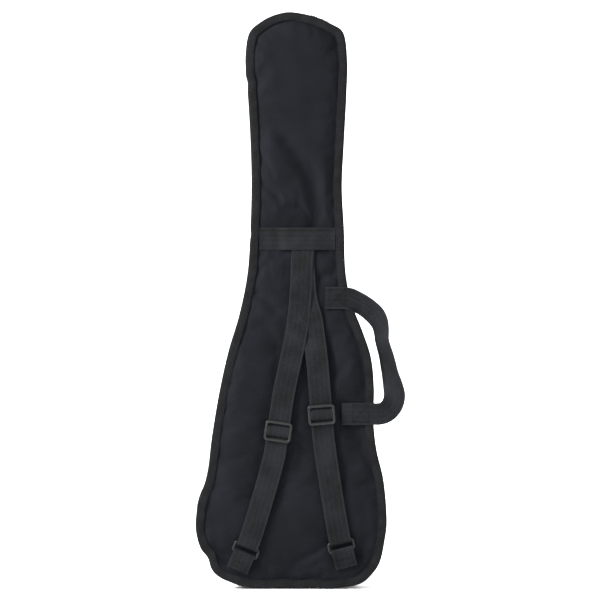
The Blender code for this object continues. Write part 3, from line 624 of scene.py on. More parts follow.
@dataclass
class Seam:
    """A row of stitches, or several, that become one piece."""

    pitch: float = 0.0036
    thread: float = 0.00042
    places: list = field(default_factory=list)
    turns: list = field(default_factory=list)

    def sew(self, route: Array, out: Array, pull: float = 0.0) -> "Seam":
        """Adds stitches along a route.

        Args:
            route: (n, 3) where the thread runs.
            out: the direction that the cloth faces there, one or one for each point.
            pull: how far the thread sinks into the cloth.

        Returns:
            The seam.
        """
        route = np.asarray(route, float)
        out = np.broadcast_to(np.asarray(out, float), route.shape)
        line = evenly(np.hstack([route, out]), self.pitch / 2)
        spots, facing = line[1::2, :3], unit(line[1::2, 3:])
        along = unit(np.gradient(line[:, :3], axis=0))[1::2]
        side = unit(np.cross(facing, along))
        self.places.append(spots - facing * pull)
        self.turns.append(np.stack([along, side, np.cross(along, side)], axis=-1))
        return self

    def piece(self, name: str, body: str) -> Thing:
        """The stitches as one piece that rides on a body."""
        base = bead((self.pitch * 0.42, self.thread, self.thread), 6, 4)
        thing = copies(name, base, np.concatenate(self.places), np.concatenate(self.turns))
        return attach(dress(thing, THREAD, 80.0), body)


# ------------------------------------------------------------------------------ the bag's edge
@dataclass(frozen=True)
class BagEdge:
    """The bag's outline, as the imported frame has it, with the small waves of a sewn edge."""

    length: float = 1.000
    half_width: float = 0.173
    depth: float = 0.060
    fold_z: float = -0.460
    foot_z: float = -0.605
    neck_radius: float = 0.107
    neck_x: float = 0.001
    step: float = 0.0045
    right: tuple = (
        (0.000, 0.001), (0.400, 0.001), (0.640, 0.011), (0.780, 0.032), (0.856, 0.060), (0.896, 0.098),
        (0.905, 0.135), (0.875, 0.190), (0.808, 0.240), (0.778, 0.290), (0.783, 0.345), (0.752, 0.400),
        (0.665, 0.446), (0.562, 0.492), (0.500, 0.545), (0.483, 0.620), (0.462, 0.695), (0.482, 0.770),
        (0.509, 0.860), (0.515, 0.915),
    )
    left: tuple = (
        (-0.506, 0.920), (-0.488, 0.870), (-0.460, 0.790), (-0.445, 0.705), (-0.456, 0.620),
        (-0.485, 0.545), (-0.565, 0.475), (-0.676, 0.410), (-0.772, 0.335), (-0.842, 0.262),
        (-0.888, 0.200), (-0.962, 0.158), (-0.998, 0.118), (-0.975, 0.080), (-0.900, 0.049),
        (-0.775, 0.021), (-0.610, 0.006), (-0.370, 0.000),
    )
    neck_turns: tuple = (49, 36, 24, 12, 0, -12, -24, -36, -49)
    # where the edge is dented (above zero) or bulges: x, z, how deep and how wide, in mm
    dents: tuple = ()

    def neck_point(self, degrees: float, inset: float = 0.0) -> tuple[float, float]:
        """A point of the round neck end, as (x, z)."""
        turn, reach = math.radians(degrees), self.neck_radius - inset
        middle = self.foot_z + self.length - self.neck_radius
        return self.neck_x + reach * math.sin(turn), middle + reach * math.cos(turn)

    def corners(self) -> list:
        """The points that the outline passes through, anticlockwise from the bottom's middle."""
        scaled = [
            [(x * self.half_width, self.foot_z + z * self.length) for x, z in side]
            for side in (self.right, self.left)
        ]
        return scaled[0] + [self.neck_point(turn) for turn in self.neck_turns] + scaled[1]

    def stations(self, run: Run = Run.WHOLE) -> tuple[Array, Array]:
        """Even points of the edge at y = 0, and the inward direction at each.

        Args:
            run: which part of the edge.

        Returns:
            (n, 3) points and (n, 3) unit vectors.
        """
        fine = curve_through(self.corners(), 16, closed=True)
        even = evenly(np.vstack([fine, fine[:1]]), self.step, 2)[:-1]
        ahead = np.roll(even, -2, axis=0) - np.roll(even, 2, axis=0)
        inward = unit(np.stack([-ahead[:, 1], ahead[:, 0]], axis=1))
        for x, z, depth, width in self.dents:
            away = np.linalg.norm(even - np.array([x, z]) * MM, axis=1) / (width * MM)
            even = even + inward * (depth * MM * np.exp(-away**2))[:, None]
        if run is not Run.WHOLE:
            above = even[:, 1] > self.fold_z
            order = kept_run(above if run is Run.ABOVE else ~above)
            even, inward = even[order], inward[order]
            for end, beyond in ((0, 1), (-1, -2)):
                share = (self.fold_z - even[end, 1]) / (even[beyond, 1] - even[end, 1])
                even[end] += share * (even[beyond] - even[end])
        points = np.stack([even[:, 0], np.zeros(len(even)), even[:, 1]], axis=1)
        return points, np.stack([inward[:, 0], np.zeros(len(even)), inward[:, 1]], axis=1)

    def side_x(self, side: Side, z: Array, inset: float = 0.0) -> Array:
        """Where the bag's left or right edge, moved in by an inset, is at a height."""
        points, inward = self.stations()
        moved = (points + inset * inward)[:, [0, 2]]
        moved = moved[moved[:, 0] * side.sign > 0]
        order = np.argsort(moved[:, 1])
        return np.interp(z, moved[order, 1], moved[order, 0])


EDGE = BagEdge()
BACK_EDGE = BagEdge(dents=(
    (8, 394, 3.2, 22), (36, 388, 4.6, 24), (62, 376, 2.6, 18), (-30, 388, 0.8, 16),
    (-86, 268, 1.4, 7), (-86, 284, -0.9, 9), (-80, 8, 1.2, 7),
    (-156, -424, 1.6, 9), (-172, -455, -1.6, 16), (-172, -500, -1.2, 20), (-153, -552, 5.2, 13),
    (-138, -574, -1.2, 12), (-110, -594, 1.6, 16), (-20, -603, 1.2, 14), (6, -603, -1.5, 12),
    (34, -603, 1.4, 12), (60, -602, -1.6, 14), (112, -592, -3.2, 26), (142, -560, -2.4, 24),
    (153, -500, -1.4, 24),
))


# ------------------------------------------------------------------------------ panels
@dataclass(frozen=True)
class Fold:
    """A crease, valley or ridge in a panel: its route over the panel and its size."""

    route: tuple
    depth: float                      # into the bag; a ridge is below zero
    width: float
    sharp: float = 2.0                # 2 is a round valley, 1 a crease

    def at(self, spots: Array) -> Array:
        """How far the fold moves the panel inwards at each (x, z) spot."""
        route = curve_through(np.array(self.route) * MM, 8)
        away, along = near_route(spots, route)
        fade = smoothstep(np.minimum(along, 1.0 - along) / 0.28 + 0.12)
        return self.depth * MM * fade * np.exp(-((away / (self.width * MM)) ** self.sharp))


@dataclass
class Panel:
    """A padded panel: outer cloth over foam, thin where it is sewn under the edge tape."""

    name: str
    outer: float                      # y of the outer face
    out: float                        # -1 where the outer face looks to -Y
    folds: tuple
    seed: int
    edge: BagEdge = EDGE
    pressed: tuple = ()               # routes along which something lies on the panel, in mm
    rows: int = 196
    columns: int = 54
    inset: float = 0.0030
    sewn: float = 0.0012
    thick: float = 0.0075
    crown: float = 0.0026
    cap: float = 0.0035               # how far the simulation may move a point
    frames: int = 20                  # of the simulation
    pressure: float = 4.0             # that blows the cloth up
    held_edge: float = 0.0155         # the cloth is held this near the bag's edge
    held_beside: float = 0.026        # and this near the middle of what lies on it

    def spots(self) -> Array:
        """Rows of (x, z) points that fill the outline, closer together at both ends."""
        points, inward = self.edge.stations()
        z = (points + inward * self.inset)[:, 2]
        low, high = z.min() + 0.0006, z.max() - 0.0006
        share = np.linspace(0.0, 1.0, self.rows)
        share = share - 0.115 * np.sin(math.tau * share) / math.tau * 2
        heights = low + (high - low) * share
        left, right = (self.edge.side_x(side, heights, self.inset) for side in Side)
        across = np.linspace(0.0, 1.0, self.columns)
        x = left[:, None] + (right - left)[:, None] * across
        return np.stack([x, np.broadcast_to(heights[:, None], x.shape)], axis=-1)

    def edge_gap(self, spots: Array) -> Array:
        """How far each spot is from the bag's edge."""
        points, _ = self.edge.stations()
        route = points[:, [0, 2]]
        gaps = np.linalg.norm(spots[:, None] - route[None], axis=2)
        return gaps.min(axis=1)

    def relief(self, spots: Array, gap: Array) -> Array:
        """How far the outer face lies inwards of its flat plane at each spot."""
        free = smoothstep((gap - 0.0150) / 0.024)
        bulge = self.crown * smoothstep((gap - 0.0145) / 0.018)
        for route in self.pressed:
            away, _ = near_route(spots, np.array(route) * MM)
            bulge = bulge * (0.10 + 0.90 * smoothstep((away - 0.016) / 0.020))
        depth = sum((fold.at(spots) for fold in self.folds), np.zeros(len(spots)))
        broad, small = rumple(spots, 13, 9, self.seed), rumple(spots, 34, 24, self.seed + 7)
        seam = 0.0016 * np.exp(-(((gap - 0.0160) / 0.0026) ** 2))
        pucker = 0.0009 * rumple(spots, 60, 60, self.seed + 3) * np.exp(-(((gap - 0.020) / 0.010) ** 2))
        reach = smoothstep((gap - 0.0140) / 0.009)
        return 1.35 * depth * reach + (0.0020 * broad + 0.0008 * small) * free - bulge + seam + pucker

    def simulate(self, thing: Thing, held: Array) -> None:
        """Blows the cloth up from inside with its edge held, so that it fills out and buckles.

        Args:
            thing: the panel.
            held: which of its points don't move.
        """
        start = np.array([v.co for v in thing.data.vertices])
        group = thing.vertex_groups.new(name="held")
        group.add([int(i) for i in np.flatnonzero(held)], 1.0, "REPLACE")
        cloth = thing.modifiers.new("cloth", "CLOTH")
        cloth.settings.quality = 4
        cloth.settings.mass = 0.35
        cloth.settings.tension_stiffness = 18.0
        cloth.settings.compression_stiffness = 12.0
        cloth.settings.bending_stiffness = 0.6
        cloth.settings.shrink_min = -0.010
        cloth.settings.use_pressure = True
        cloth.settings.uniform_pressure_force = self.pressure
        cloth.settings.effector_weights.gravity = 0.0
        cloth.settings.vertex_group_mass = group.name
        cloth.point_cache.frame_start, cloth.point_cache.frame_end = 1, self.frames
        for step in range(1, self.frames + 1):
            bpy.context.scene.frame_set(step)
        apply_modifier(thing, cloth.name)
        bpy.context.scene.frame_set(1)
        moved = np.array([v.co for v in thing.data.vertices]) - start
        size = np.linalg.norm(moved, axis=1, keepdims=True)
        capped = moved * (np.tanh(size / self.cap) * self.cap / np.maximum(size, 1e-9))
        capped[held] = 0.0
        thing.data.vertices.foreach_set("co", (start + capped).astype(np.float32).ravel())
        LOG.info("%s: cloth moved it %.1f mm at most", self.name, np.linalg.norm(capped, axis=1).max() / MM)

    def build(self) -> Thing:
        """The panel's closed body, filled out and folded."""
        spots = self.spots()
        flat_spots = spots.reshape(-1, 2)
        gap = self.edge_gap(flat_spots)
        relief = self.relief(flat_spots, gap).reshape(spots.shape[:2])
        gap = gap.reshape(spots.shape[:2])
        thickness = self.sewn + (self.thick - self.sewn) * smoothstep((gap - 0.0085) / 0.010)
        shallow = np.minimum(relief, thickness - 0.0015)
        faces = []
        for depth, across in ((shallow, slice(None)), (thickness, slice(None, None, -1))):
            y = self.outer - self.out * depth
            face = np.stack([spots[..., 0], y, spots[..., 1]], axis=-1)
            faces.append(face[:, across])
        rows = np.concatenate([*faces, faces[0][:, :1]], axis=1)
        flat = rows[..., [0, 2]]
        thing = laid_grid(self.name, rows, flat)
        points = np.array([v.co for v in thing.data.vertices])
        inner = np.abs(points[:, 1] - self.outer) > self.thick - 0.0004
        held = inner | (self.edge_gap(points[:, [0, 2]]) < self.held_edge)
        for route in self.pressed:
            held |= near_route(points[:, [0, 2]], np.array(route) * MM)[0] < self.held_beside
        self.simulate(thing, held)
        choose(thing)
        modifier = thing.modifiers.new("rounding", "SUBSURF")
        modifier.levels = modifier.render_levels = 1
        apply_modifier(thing, modifier.name)
        dress(thing, POLYESTER, 60.0)
        return thing


# ------------------------------------------------------------------------------ edges and side walls
@dataclass
class EdgeTape:
    """Woven tape folded round the sewn edge of a panel, with its row of stitches."""

    shown: float = 0.0145
    hidden: float = 0.0064
    thick: float = 0.0008
    proud: float = 0.0015
    edge: BagEdge = EDGE
    under: float = 0.0038             # how far into the bag's depth the short side lies

    def section(self, along: Array, seed: int) -> Array:
        """The folded tape's section at each place along the edge, as (inset, depth) points."""
        wander = 0.0007 * ripple(along, 0.085, seed) + 0.0004 * ripple(along, 0.030, seed + 1)
        swell = 0.00035 * (1 + ripple(along, 0.055, seed + 2))
        shown, hidden = self.shown + wander, self.hidden + 0.4 * wander
        top, low = -self.proud - swell, self.under
        lip = top + 0.0006            # its long side's end is drawn down by the stitches
        inner_top, inner_low = top + self.thick, low - self.thick
        points = [
            (shown, lip + self.thick), (shown + 0.0002, lip + self.thick / 2), (shown, lip),
            (shown * 0.66, top), (shown * 0.33, top), (0.0020, top + 0.0002), (0.0005, top + 0.0009),
            (0.0000, top * 0.4 + low * 0.4), (0.0005, low - 0.0007), (0.0020, low), (hidden, low),
            (hidden, inner_low), (0.0024, inner_low), (0.0014, inner_low - 0.0004),
            (0.0013, inner_top + 0.0008), (0.0024, inner_top + 0.0001), (shown * 0.6, inner_top + 0.0001),
        ]
        wide = [np.stack(np.broadcast_arrays(a, b, along)[:2], axis=-1) for a, b in points]
        return np.stack(wide, axis=1)

    def build(self, name: str, outer: float, out: float, seed: int) -> tuple[Thing, Array]:
        """The tape round a whole panel.

        Args:
            name: the piece's name.
            outer: y of the panel's outer face.
            out: -1 where that face looks to -Y.
            seed: of the tape's small waves.

        Returns:
            The piece, and the route of its stitches.
        """
        points, inward = self.edge.stations()
        along = lengths_along(points)
        fade = smoothstep(np.minimum(along, along[-1] - along) / 0.05)
        calm = self.section(0.0 * along, seed)
        section = calm + (self.section(along, seed) - calm) * fade[:, None, None]
        centres = points + np.array([0.0, outer, 0.0])
        thing = swept(name, centres, inward, -out * FORWARDS, section, looped=True)
        dress(thing, BINDING_TAPE, 50.0)
        reach = section[:, 0, 0] - 0.0022
        return thing, centres + inward * reach[:, None] - out * FORWARDS * (0.0002 - self.proud)


@dataclass
class SideWall:
    """The gusset between the two panels, with the zip that runs round it."""

    inset: float = 0.0068
    cloth: float = 0.0012
    zip_gap: float = 0.0055           # half width of the gap between the two walls
    flange: float = 0.0020
    tape_inset: float = 0.0083
    tape: float = 0.0008
    tape_edges: tuple[float, float] = (0.0002, 0.0135)     # from the line where the two halves meet
    coil: float = 0.0021
    tooth_pitch: float = 0.0021

    def wall(self, name: str, low: float, high: float, run: Run, seed: int) -> Thing:
        """A strip of cloth round the edge.

        Args:
            name: the piece's name.
            low: y of its back edge.
            high: y of its front edge.
            run: the part of the bag's edge that it follows.
            seed: of its small waves.

        Returns:
            The piece.
        """
        points, inward = EDGE.stations(run)
        along = lengths_along(points)
        sag = 0.0007 * (1 + ripple(along, 0.060, seed))
        middle, half = (low + high) / 2, (high - low) / 2
        section = []
        for reach, face in ((0.0, 1), (self.cloth, -1)):
            for share in np.linspace(-1.0, 1.0, 7)[::face]:
                inset = self.inset + reach + sag * (1 - share**2)
                section.append(np.stack([inset, np.full(len(along), middle + half * share)], axis=-1))
        thing = swept(name, points, inward, FORWARDS, np.stack(section, axis=1))
        return dress(thing, POLYESTER)

    def hem(self, points: Array, inward: Array, depth: float) -> Array:
        """The route of stitches beside the zip, on a wall's outer face."""
        return points + inward * (self.inset - 0.0001) + FORWARDS * depth

    def tape_strip(self, name: str, meet: float, out: float) -> Thing:
        """Half of the zip's tape, with the cord that its coil is sewn to."""
        points, inward = EDGE.stations(Run.ABOVE)
        near, far = (meet + out * edge for edge in self.tape_edges)
        top, low = self.tape_inset, self.tape_inset + self.tape
        section = [(top, near), (top, far), (low, far), (low, near)]
        return dress(swept(name, points, inward, FORWARDS, section), ZIP_TAPE)

    def teeth(self, name: str, meet: float, out: float, shift: float) -> Thing:
        """Half of the zip's coil: one loop for each turn of the monofilament.

        Args:
            name: the piece's name.
            meet: y of the line where the two halves meet.
            out: -1 for the half that lies to -Y of it.
            shift: how far along its own pitch the coil starts.

        Returns:
            The piece.
        """
        points, inward = EDGE.stations(Run.ABOVE)
        line = evenly(np.hstack([points, inward]), self.tooth_pitch)
        places, facing = line[:, :3], -unit(line[:, 3:])
        along = unit(np.gradient(places, axis=0))
        depth = meet + out * 0.0011
        middle = places - facing * (self.tape_inset + self.tape - self.coil / 2 - 0.0001) + FORWARDS * depth
        middle = middle + along * shift * self.tooth_pitch
        base = bead((self.tooth_pitch * 0.30, 0.0015, 0.0010))
        turns = np.stack([along, np.broadcast_to(FORWARDS, along.shape), facing], axis=-1)
        return dress(copies(name, base, middle, turns), NYLON_COIL, 80.0)


@dataclass
class Lining:
    """The thin cloth inside a half: a floor over the foam, and a rim that hides the side wall."""

    inset: float = 0.0100
    cloth: float = 0.0007
    floor: float = 0.0080             # depth under the panel's face
    rim: float = 0.0277

    def build(self, name: str, outer: float, out: float, seed: int, run: Run = Run.WHOLE) -> Thing:
        """The lining as one laid sheet, given its thickness.

        Args:
            name: the piece's name.
            outer: y of the panel's outer face.
            out: -1 where that face looks to -Y.
            seed: of its small waves.
            run: the part of the bag that it lines.

        Returns:
            The piece.
        """
        panel = Panel(name, outer, out, (), seed, rows=120, columns=34, inset=self.inset)
        spots = panel.spots()
        gap = panel.edge_gap(spots.reshape(-1, 2)).reshape(spots.shape[:2]) - self.inset
        depth = self.floor + 0.0016 * (1 + rumple(spots, 22, 16, seed)) * smoothstep(gap / 0.02)
        sides = []
        for edge in (0, -1):
            x, z = spots[:, edge].T
            for share in np.linspace(1.0, 0.0, 5)[:-1]:
                level = self.floor + (self.rim - self.floor) * share
                sides.append(np.stack([x, np.full(len(x), level), z], axis=-1))
        body = np.stack([spots[..., 0], depth, spots[..., 1]], axis=-1)
        left = np.stack(sides[:4], axis=1)
        right = np.stack(sides[4:][::-1], axis=1)
        rows = np.concatenate([left, body, right], axis=1)
        rows[..., 1] = outer - out * rows[..., 1]
        if run is not Run.WHOLE:
            above = rows[:, 0, 2] > EDGE.fold_z + 0.001
            rows = rows[above if run is Run.ABOVE else ~above]
        across = lengths_along(rows[len(rows) // 2])
        flat = np.stack(np.broadcast_arrays(across[None, :], rows[..., 2]), axis=-1)
        thing = laid_grid(name, rows, flat, closed=False)
        thicken(thing, self.cloth, 0.0)
        return dress(thing, LINING, 50.0)


# ------------------------------------------------------------------------------ straps
@dataclass
class Strap:
    """A shoulder strap with its adjuster, its ring and the tab that holds the ring."""

    side: Side
    adjuster: tuple[float, float]     # x and height above the foot
    ring: tuple[float, float]         # in from the edge, and height above the foot
    ring_lean: float                  # degrees
    under: int                        # straps that lie under this one at the root
    bow: tuple                        # how far it lies to +X of straight, in mm, at distances from the root
    slack: float                      # how far its waves stand off, in mm
    width: float = 0.038
    thick: float = 0.0014
    rest: float = 0.0006
    clear: float = 0.0003
    wire: float = 0.0035
    play: float = 0.00165
    ring_pitch: float = 0.0160
    tab_length: float = 0.031
    root: tuple[float, float] = (0.019, 0.617)
    ramp: float = 0.175
    ramp_length: float = 0.062
    straight_below: float = 0.0365    # it runs straight on this far below the adjuster's middle
    turn_reach: tuple[float, float] = (0.36, 0.42)     # how early it turns, as shares of its lower run
    bar_half: float = 0.0009          # half the thickness of the adjuster's middle bar

    def __post_init__(self) -> None:
        """Works out the strap's directions and the levels that its webbing lies at."""
        z = EDGE.foot_z
        self.root_at = np.array([self.root[0], 0.0, self.root[1] + z])
        self.adjuster_at = np.array([self.adjuster[0], 0.0, self.adjuster[1] + z])
        inset, height = self.ring
        x = float(EDGE.side_x(self.side, height + z)) - self.side.sign * inset
        self.ring_at = np.array([x, 0.0, height + z])
        run = self.adjuster_at - self.root_at
        self.lean = math.atan2(-run[0], -run[2])
        self.turn = math.radians(self.ring_lean)
        self.loop = self.wire / 2 + self.play
        self.back = self.rest + self.thick / 2
        self.middle = self.back + self.thick / 2 + self.loop
        self.front = self.middle + self.loop + self.thick / 2
        self.sunk = self.front - 0.0013       # its level where the adjuster runs
        self.bar_out = self.sunk - 1.5 * self.thick - 2 * self.clear - self.bar_half

    @staticmethod
    def down(lean: float) -> Array:
        """The way down webbing that leans towards -X."""
        return np.array([-math.sin(lean), 0.0, -math.cos(lean)])

    @staticmethod
    def over(lean: float) -> Array:
        """The way across it, towards +X."""
        return np.array([math.cos(lean), 0.0, -math.sin(lean)])

    def lower_run(self) -> list:
        """Points between the adjuster's straight and the ring, each with its lean."""
        straight = float(np.linalg.norm(self.adjuster_at - self.root_at)) + self.straight_below
        a = self.root_at + self.down(self.lean) * straight
        b = self.ring_at - self.down(self.turn) * self.ring_pitch / 2
        reach = float(np.linalg.norm(b - a))
        leans = (self.lean, self.turn)
        da, db = (self.down(lean) * reach * share for lean, share in zip(leans, self.turn_reach))
        found = []
        for s in np.linspace(0.0, 1.0, 33):
            point = (
                (2 * s**3 - 3 * s**2 + 1) * a + (s**3 - 2 * s**2 + s) * da
                + (3 * s**2 - 2 * s**3) * b + (s**3 - s**2) * db
            )
            slope = (6 * s**2 - 6 * s) * (a - b) + (3 * s**2 - 4 * s + 1) * da + (3 * s**2 - 2 * s) * db
            found.append((point, math.atan2(-slope[0], -slope[2])))
        return found

    def route(self) -> tuple[Array, Array]:
        """The strap's middle line down its front, round the ring and back up behind, and its width's way."""
        low = self.back + self.under * (self.thick + self.clear)
        centres, ways = [], []
        run_down = self.lower_run()
        straight = float(np.linalg.norm(run_down[0][0] - self.root_at))
        bow = curve_through(np.array(self.bow), 8).T * MM
        for run in np.arange(0.0, straight, 0.006):
            rise = float(smoothstep((run - self.ramp) / self.ramp_length))
            out = low + (self.sunk - low) * rise
            loose = smoothstep(run / 0.05) * smoothstep((straight - 0.12 - run) / 0.04)
            out += self.slack * MM * loose * (1 + math.sin(run * 96.0 + 2.0 * self.under))
            aside = float(np.interp(run, *bow))
            centres.append(self.on(self.root_at, self.lean, aside, run, out))
            ways.append(self.over(self.lean))
        for step, (point, lean) in enumerate(run_down):
            out = self.sunk + (self.front - self.sunk) * float(smoothstep(step / len(run_down)))
            centres.append(point + BACKWARDS * out)
            ways.append(self.over(lean))
        bar = run_down[-1][0]
        radius = self.loop + self.thick / 2
        for turn in np.linspace(0.0, math.pi, 12)[1:-1]:
            point = bar + self.down(self.turn) * radius * math.sin(turn)
            centres.append(point + BACKWARDS * (self.middle + radius * math.cos(turn)))
            ways.append(self.over(self.turn))
        for point, lean in run_down[::-1]:
            centres.append(point + BACKWARDS * self.back)
            ways.append(self.over(lean))
        return np.array(centres), np.array(ways)

    def tab_route(self) -> tuple[Array, Array]:
        """The ring's tab, from its front end round the ring's lower bar to its back end."""
        bar = self.ring_at + self.down(self.turn) * self.ring_pitch / 2
        radius = self.loop + self.thick / 2
        end = self.back + self.thick + self.clear
        way = []
        for share in np.linspace(1.0, 0.0, 14):
            rise = float(smoothstep((1 - share) * 1.25))
            way.append((share * self.tab_length, end + (self.front - end) * rise))
        for turn in np.linspace(0.0, math.pi, 12)[1:-1]:
            way.append((-radius * math.sin(turn), self.middle + radius * math.cos(turn)))
        way += [(share * self.tab_length, self.back) for share in np.linspace(0.0, 1.0, 5)]
        centres = np.array([bar + self.down(self.turn) * run + BACKWARDS * out for run, out in way])
        return centres, np.broadcast_to(self.over(self.turn), centres.shape)

    def on(self, place: Array, lean: float, across: float, run: float, out: float) -> Array:
        """A point beside a place, in the directions of webbing with a lean."""
        return place + self.over(lean) * across + self.down(lean) * run + BACKWARDS * out

    def rounded_loop(self, place: Array, lean: float, size: tuple, corner: float, out: float) -> tuple:
        """A closed route round a rectangle with round corners.

        Args:
            place: its middle.
            lean: of the webbing that it is on.
            size: half its width and half its length.
            corner: radius of its corners.
            out: how far it lies off the panel.

        Returns:
            The route, and the outward way at each of its points.
        """
        half_x, half_z = size
        route, outward = [], []
        for quarter, (sx, sz) in enumerate(((1, 1), (-1, 1), (-1, -1), (1, -1))):
            for turn in np.linspace(0.0, math.pi / 2, 9):
                angle = quarter * math.pi / 2 + turn
                a = sx * (half_x - corner) + corner * math.cos(angle)
                b = sz * (half_z - corner) + corner * math.sin(angle)
                route.append(self.on(place, lean, a, -b, out))
                outward.append(self.over(lean) * math.cos(angle) - self.down(lean) * math.sin(angle))
        return np.array(route), np.array(outward)

    def build_ring(self) -> Thing:
        """The moulded ring: a round bar bent to a rectangle."""
        half = (self.width + self.wire) / 2 + 0.001
        route, outward = self.rounded_loop(
            self.ring_at, self.turn, (half, self.ring_pitch / 2), self.wire * 0.9, self.middle,
        )
        turns = np.linspace(0.0, math.tau, 12, endpoint=False)
        section = [(self.wire / 2 * math.cos(t), self.wire / 2 * math.sin(t)) for t in turns]
        name = f"{self.side.value}_ring"
        thing = swept(f"{name}_moulded", route, outward, BACKWARDS, section, looped=True)
        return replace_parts(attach(dress(thing, ACETAL), name), name)

    def build_adjuster(self) -> Thing:
        """The three-bar slide: a rounded frame, deep side rails and a middle bar."""
        name = f"{self.side.value}_adjuster"
        bars_back = self.front + self.thick / 2 + self.clear
        half_x, half_z = 0.0235, 0.0175
        rail, bars, into = 0.0046, 0.0032, 0.0012
        route, outward = self.rounded_loop(
            self.adjuster_at, self.lean, (half_x - rail / 2, half_z - rail / 2), 0.0042, bars_back + bars / 2,
        )
        turns = np.linspace(0.0, math.tau, 14, endpoint=False)
        section = [
            (rail / 2 * math.copysign(abs(math.cos(t)) ** 0.6, math.cos(t)),
             bars / 2 * math.copysign(abs(math.sin(t)) ** 0.7, math.sin(t)))
            for t in turns
        ]
        thing = swept(f"{name}_moulded", route, outward, BACKWARDS, section, looped=True)
        deep = bars_back - self.back - self.thick / 2
        side_rail = (0.0036, deep, 2 * half_z - 0.010)
        blocks = [
            (sign * (half_x - 0.00195), 0.0, bars_back + into - deep / 2, side_rail) for sign in (-1, 1)
        ]
        blocks.append((0.0, 0.0, self.bar_out, (2 * half_x - 0.006, 2 * self.bar_half, 0.0040)))
        for across, run, out, size in blocks:
            deselect()
            bpy.ops.mesh.primitive_cube_add(size=1.0)
            block = bpy.context.object
            bpy.ops.object.mode_set(mode="EDIT")
            bpy.ops.transform.resize(value=size)
            bpy.ops.mesh.bevel(offset=min(size) * 0.28, segments=3, affect="EDGES")
            bpy.ops.object.mode_set(mode="OBJECT")
            axes = np.stack([self.over(self.lean), FORWARDS, -self.down(self.lean)], axis=-1)
            place = self.on(self.adjuster_at, self.lean, across, run, out)
            block.data.transform(Matrix.LocRotScale(Vector(place), Matrix(axes.tolist()), None))
            join(thing, block)
        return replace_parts(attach(dress(thing, ACETAL, 35.0), name), name)

    def build_bend(self) -> Thing:
        """The strap's short bend over the middle bar, which travels along the strap with the adjuster."""
        name = f"{self.side.value}_strap_bend"
        thin = 0.0009
        base, half = self.sunk + self.thick / 2 + thin / 2, 0.0092
        ups = half * np.sin(np.linspace(-math.pi / 2, math.pi / 2, 19))
        rise = 0.0034 * np.sqrt(np.clip(1 - np.abs(ups / half) ** 2.4, 0.0, 1.0))
        centres = [
            self.on(self.adjuster_at, self.lean, 0.0, -up, base + out) for up, out in zip(ups, rise)
        ]
        across = np.broadcast_to(self.over(self.lean), (len(ups), 3))
        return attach(webbing(name, centres, across, 0.0372, thin), f"{self.side.value}_adjuster")

    def build_strap_end(self) -> Thing:
        """The strap's sewn end round the adjuster's middle bar."""
        name = f"{self.side.value}_strap_end"
        radius = self.bar_half + self.clear + self.thick / 2
        bend = 0.0015
        way = [(-0.0156, radius), (-0.0075, radius), (-0.0023, radius), (bend, radius)]
        way += [
            (bend + radius * math.cos(t), radius * math.sin(t))
            for t in np.linspace(math.pi / 2, -math.pi / 2, 11)[1:-1]
        ]
        way += [(bend, -radius), (-0.0023, -radius), (-0.014, -radius), (-0.026, -radius)]
        centres = [self.on(self.adjuster_at, self.lean, 0.0, -up, self.bar_out + out) for up, out in way]
        across = np.broadcast_to(self.over(self.lean), (len(way), 3))
        thing = webbing(f"{name}_webbing", centres, across, self.width, self.thick)
        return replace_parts(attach(thing, f"{self.side.value}_adjuster"), name)

    def sew(self, seam: Seam) -> None:
        """Adds the stitches that hold the tab."""
        surface = self.back + self.thick + self.clear + self.thick / 2
        bar = self.ring_at + self.down(self.turn) * self.ring_pitch / 2
        for run in (0.0150, 0.0245):
            share = 1 - run / self.tab_length
            out = surface + (self.front - surface + self.thick / 2) * float(smoothstep(share * 1.25))
            ends = [self.on(bar, self.turn, across, run, out) for across in (-0.016, 0.016)]
            seam.sew(np.linspace(*ends, 12), BACKWARDS)

    def build(self, seam: Seam) -> None:
        """The strap and all that is on it."""
        name = self.side.value
        centres, across = self.route()
        thing = webbing(f"{name}_strap_webbing", centres, across, self.width, self.thick)
        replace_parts(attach(thing, "back"), f"{name}_strap")
        centres, across = self.tab_route()
        thing = webbing(f"{name}_tab_webbing", centres, across, self.width, self.thick)
        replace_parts(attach(thing, "back"), f"{name}_tab")
        self.build_ring()
        self.build_adjuster()
        self.build_bend()
        self.build_strap_end()
        self.sew(seam)


@dataclass
class NeckBand:
    """Webbing sewn across the neck, over the roots of the straps."""

    width: float = 0.038
    thick: float = 0.0014
    root_x: float = 0.014

    def level(self, x: Array) -> Array:
        """How far the band's middle lies off the panel."""
        flat, top = 0.0010, 0.0050
        rise = smoothstep((0.050 - np.abs(x - self.root_x)) / 0.028)
        return flat + (top - flat) * rise + 0.0002 * np.sin(x * 260.0)

    def build(self, seam: Seam) -> None:
        """The band, with a row of stitches along each side."""
        low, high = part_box("neck_band")
        x = np.linspace(low.x, high.x, 70)
        centres = np.stack([x, -self.level(x), np.zeros(len(x))], axis=1)
        across = np.broadcast_to(np.array([0.0, 0.0, 1.0]), centres.shape)
        thing = webbing("neck_band_webbing", centres, across, self.width, self.thick)
        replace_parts(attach(thing, "back"), "neck_band")
        for z in (-0.0165, 0.0165, 0.0140):
            route = np.stack([x, -self.level(x) - self.thick / 2, np.full(len(x), z)], axis=1)
            seam.sew(route, BACKWARDS)


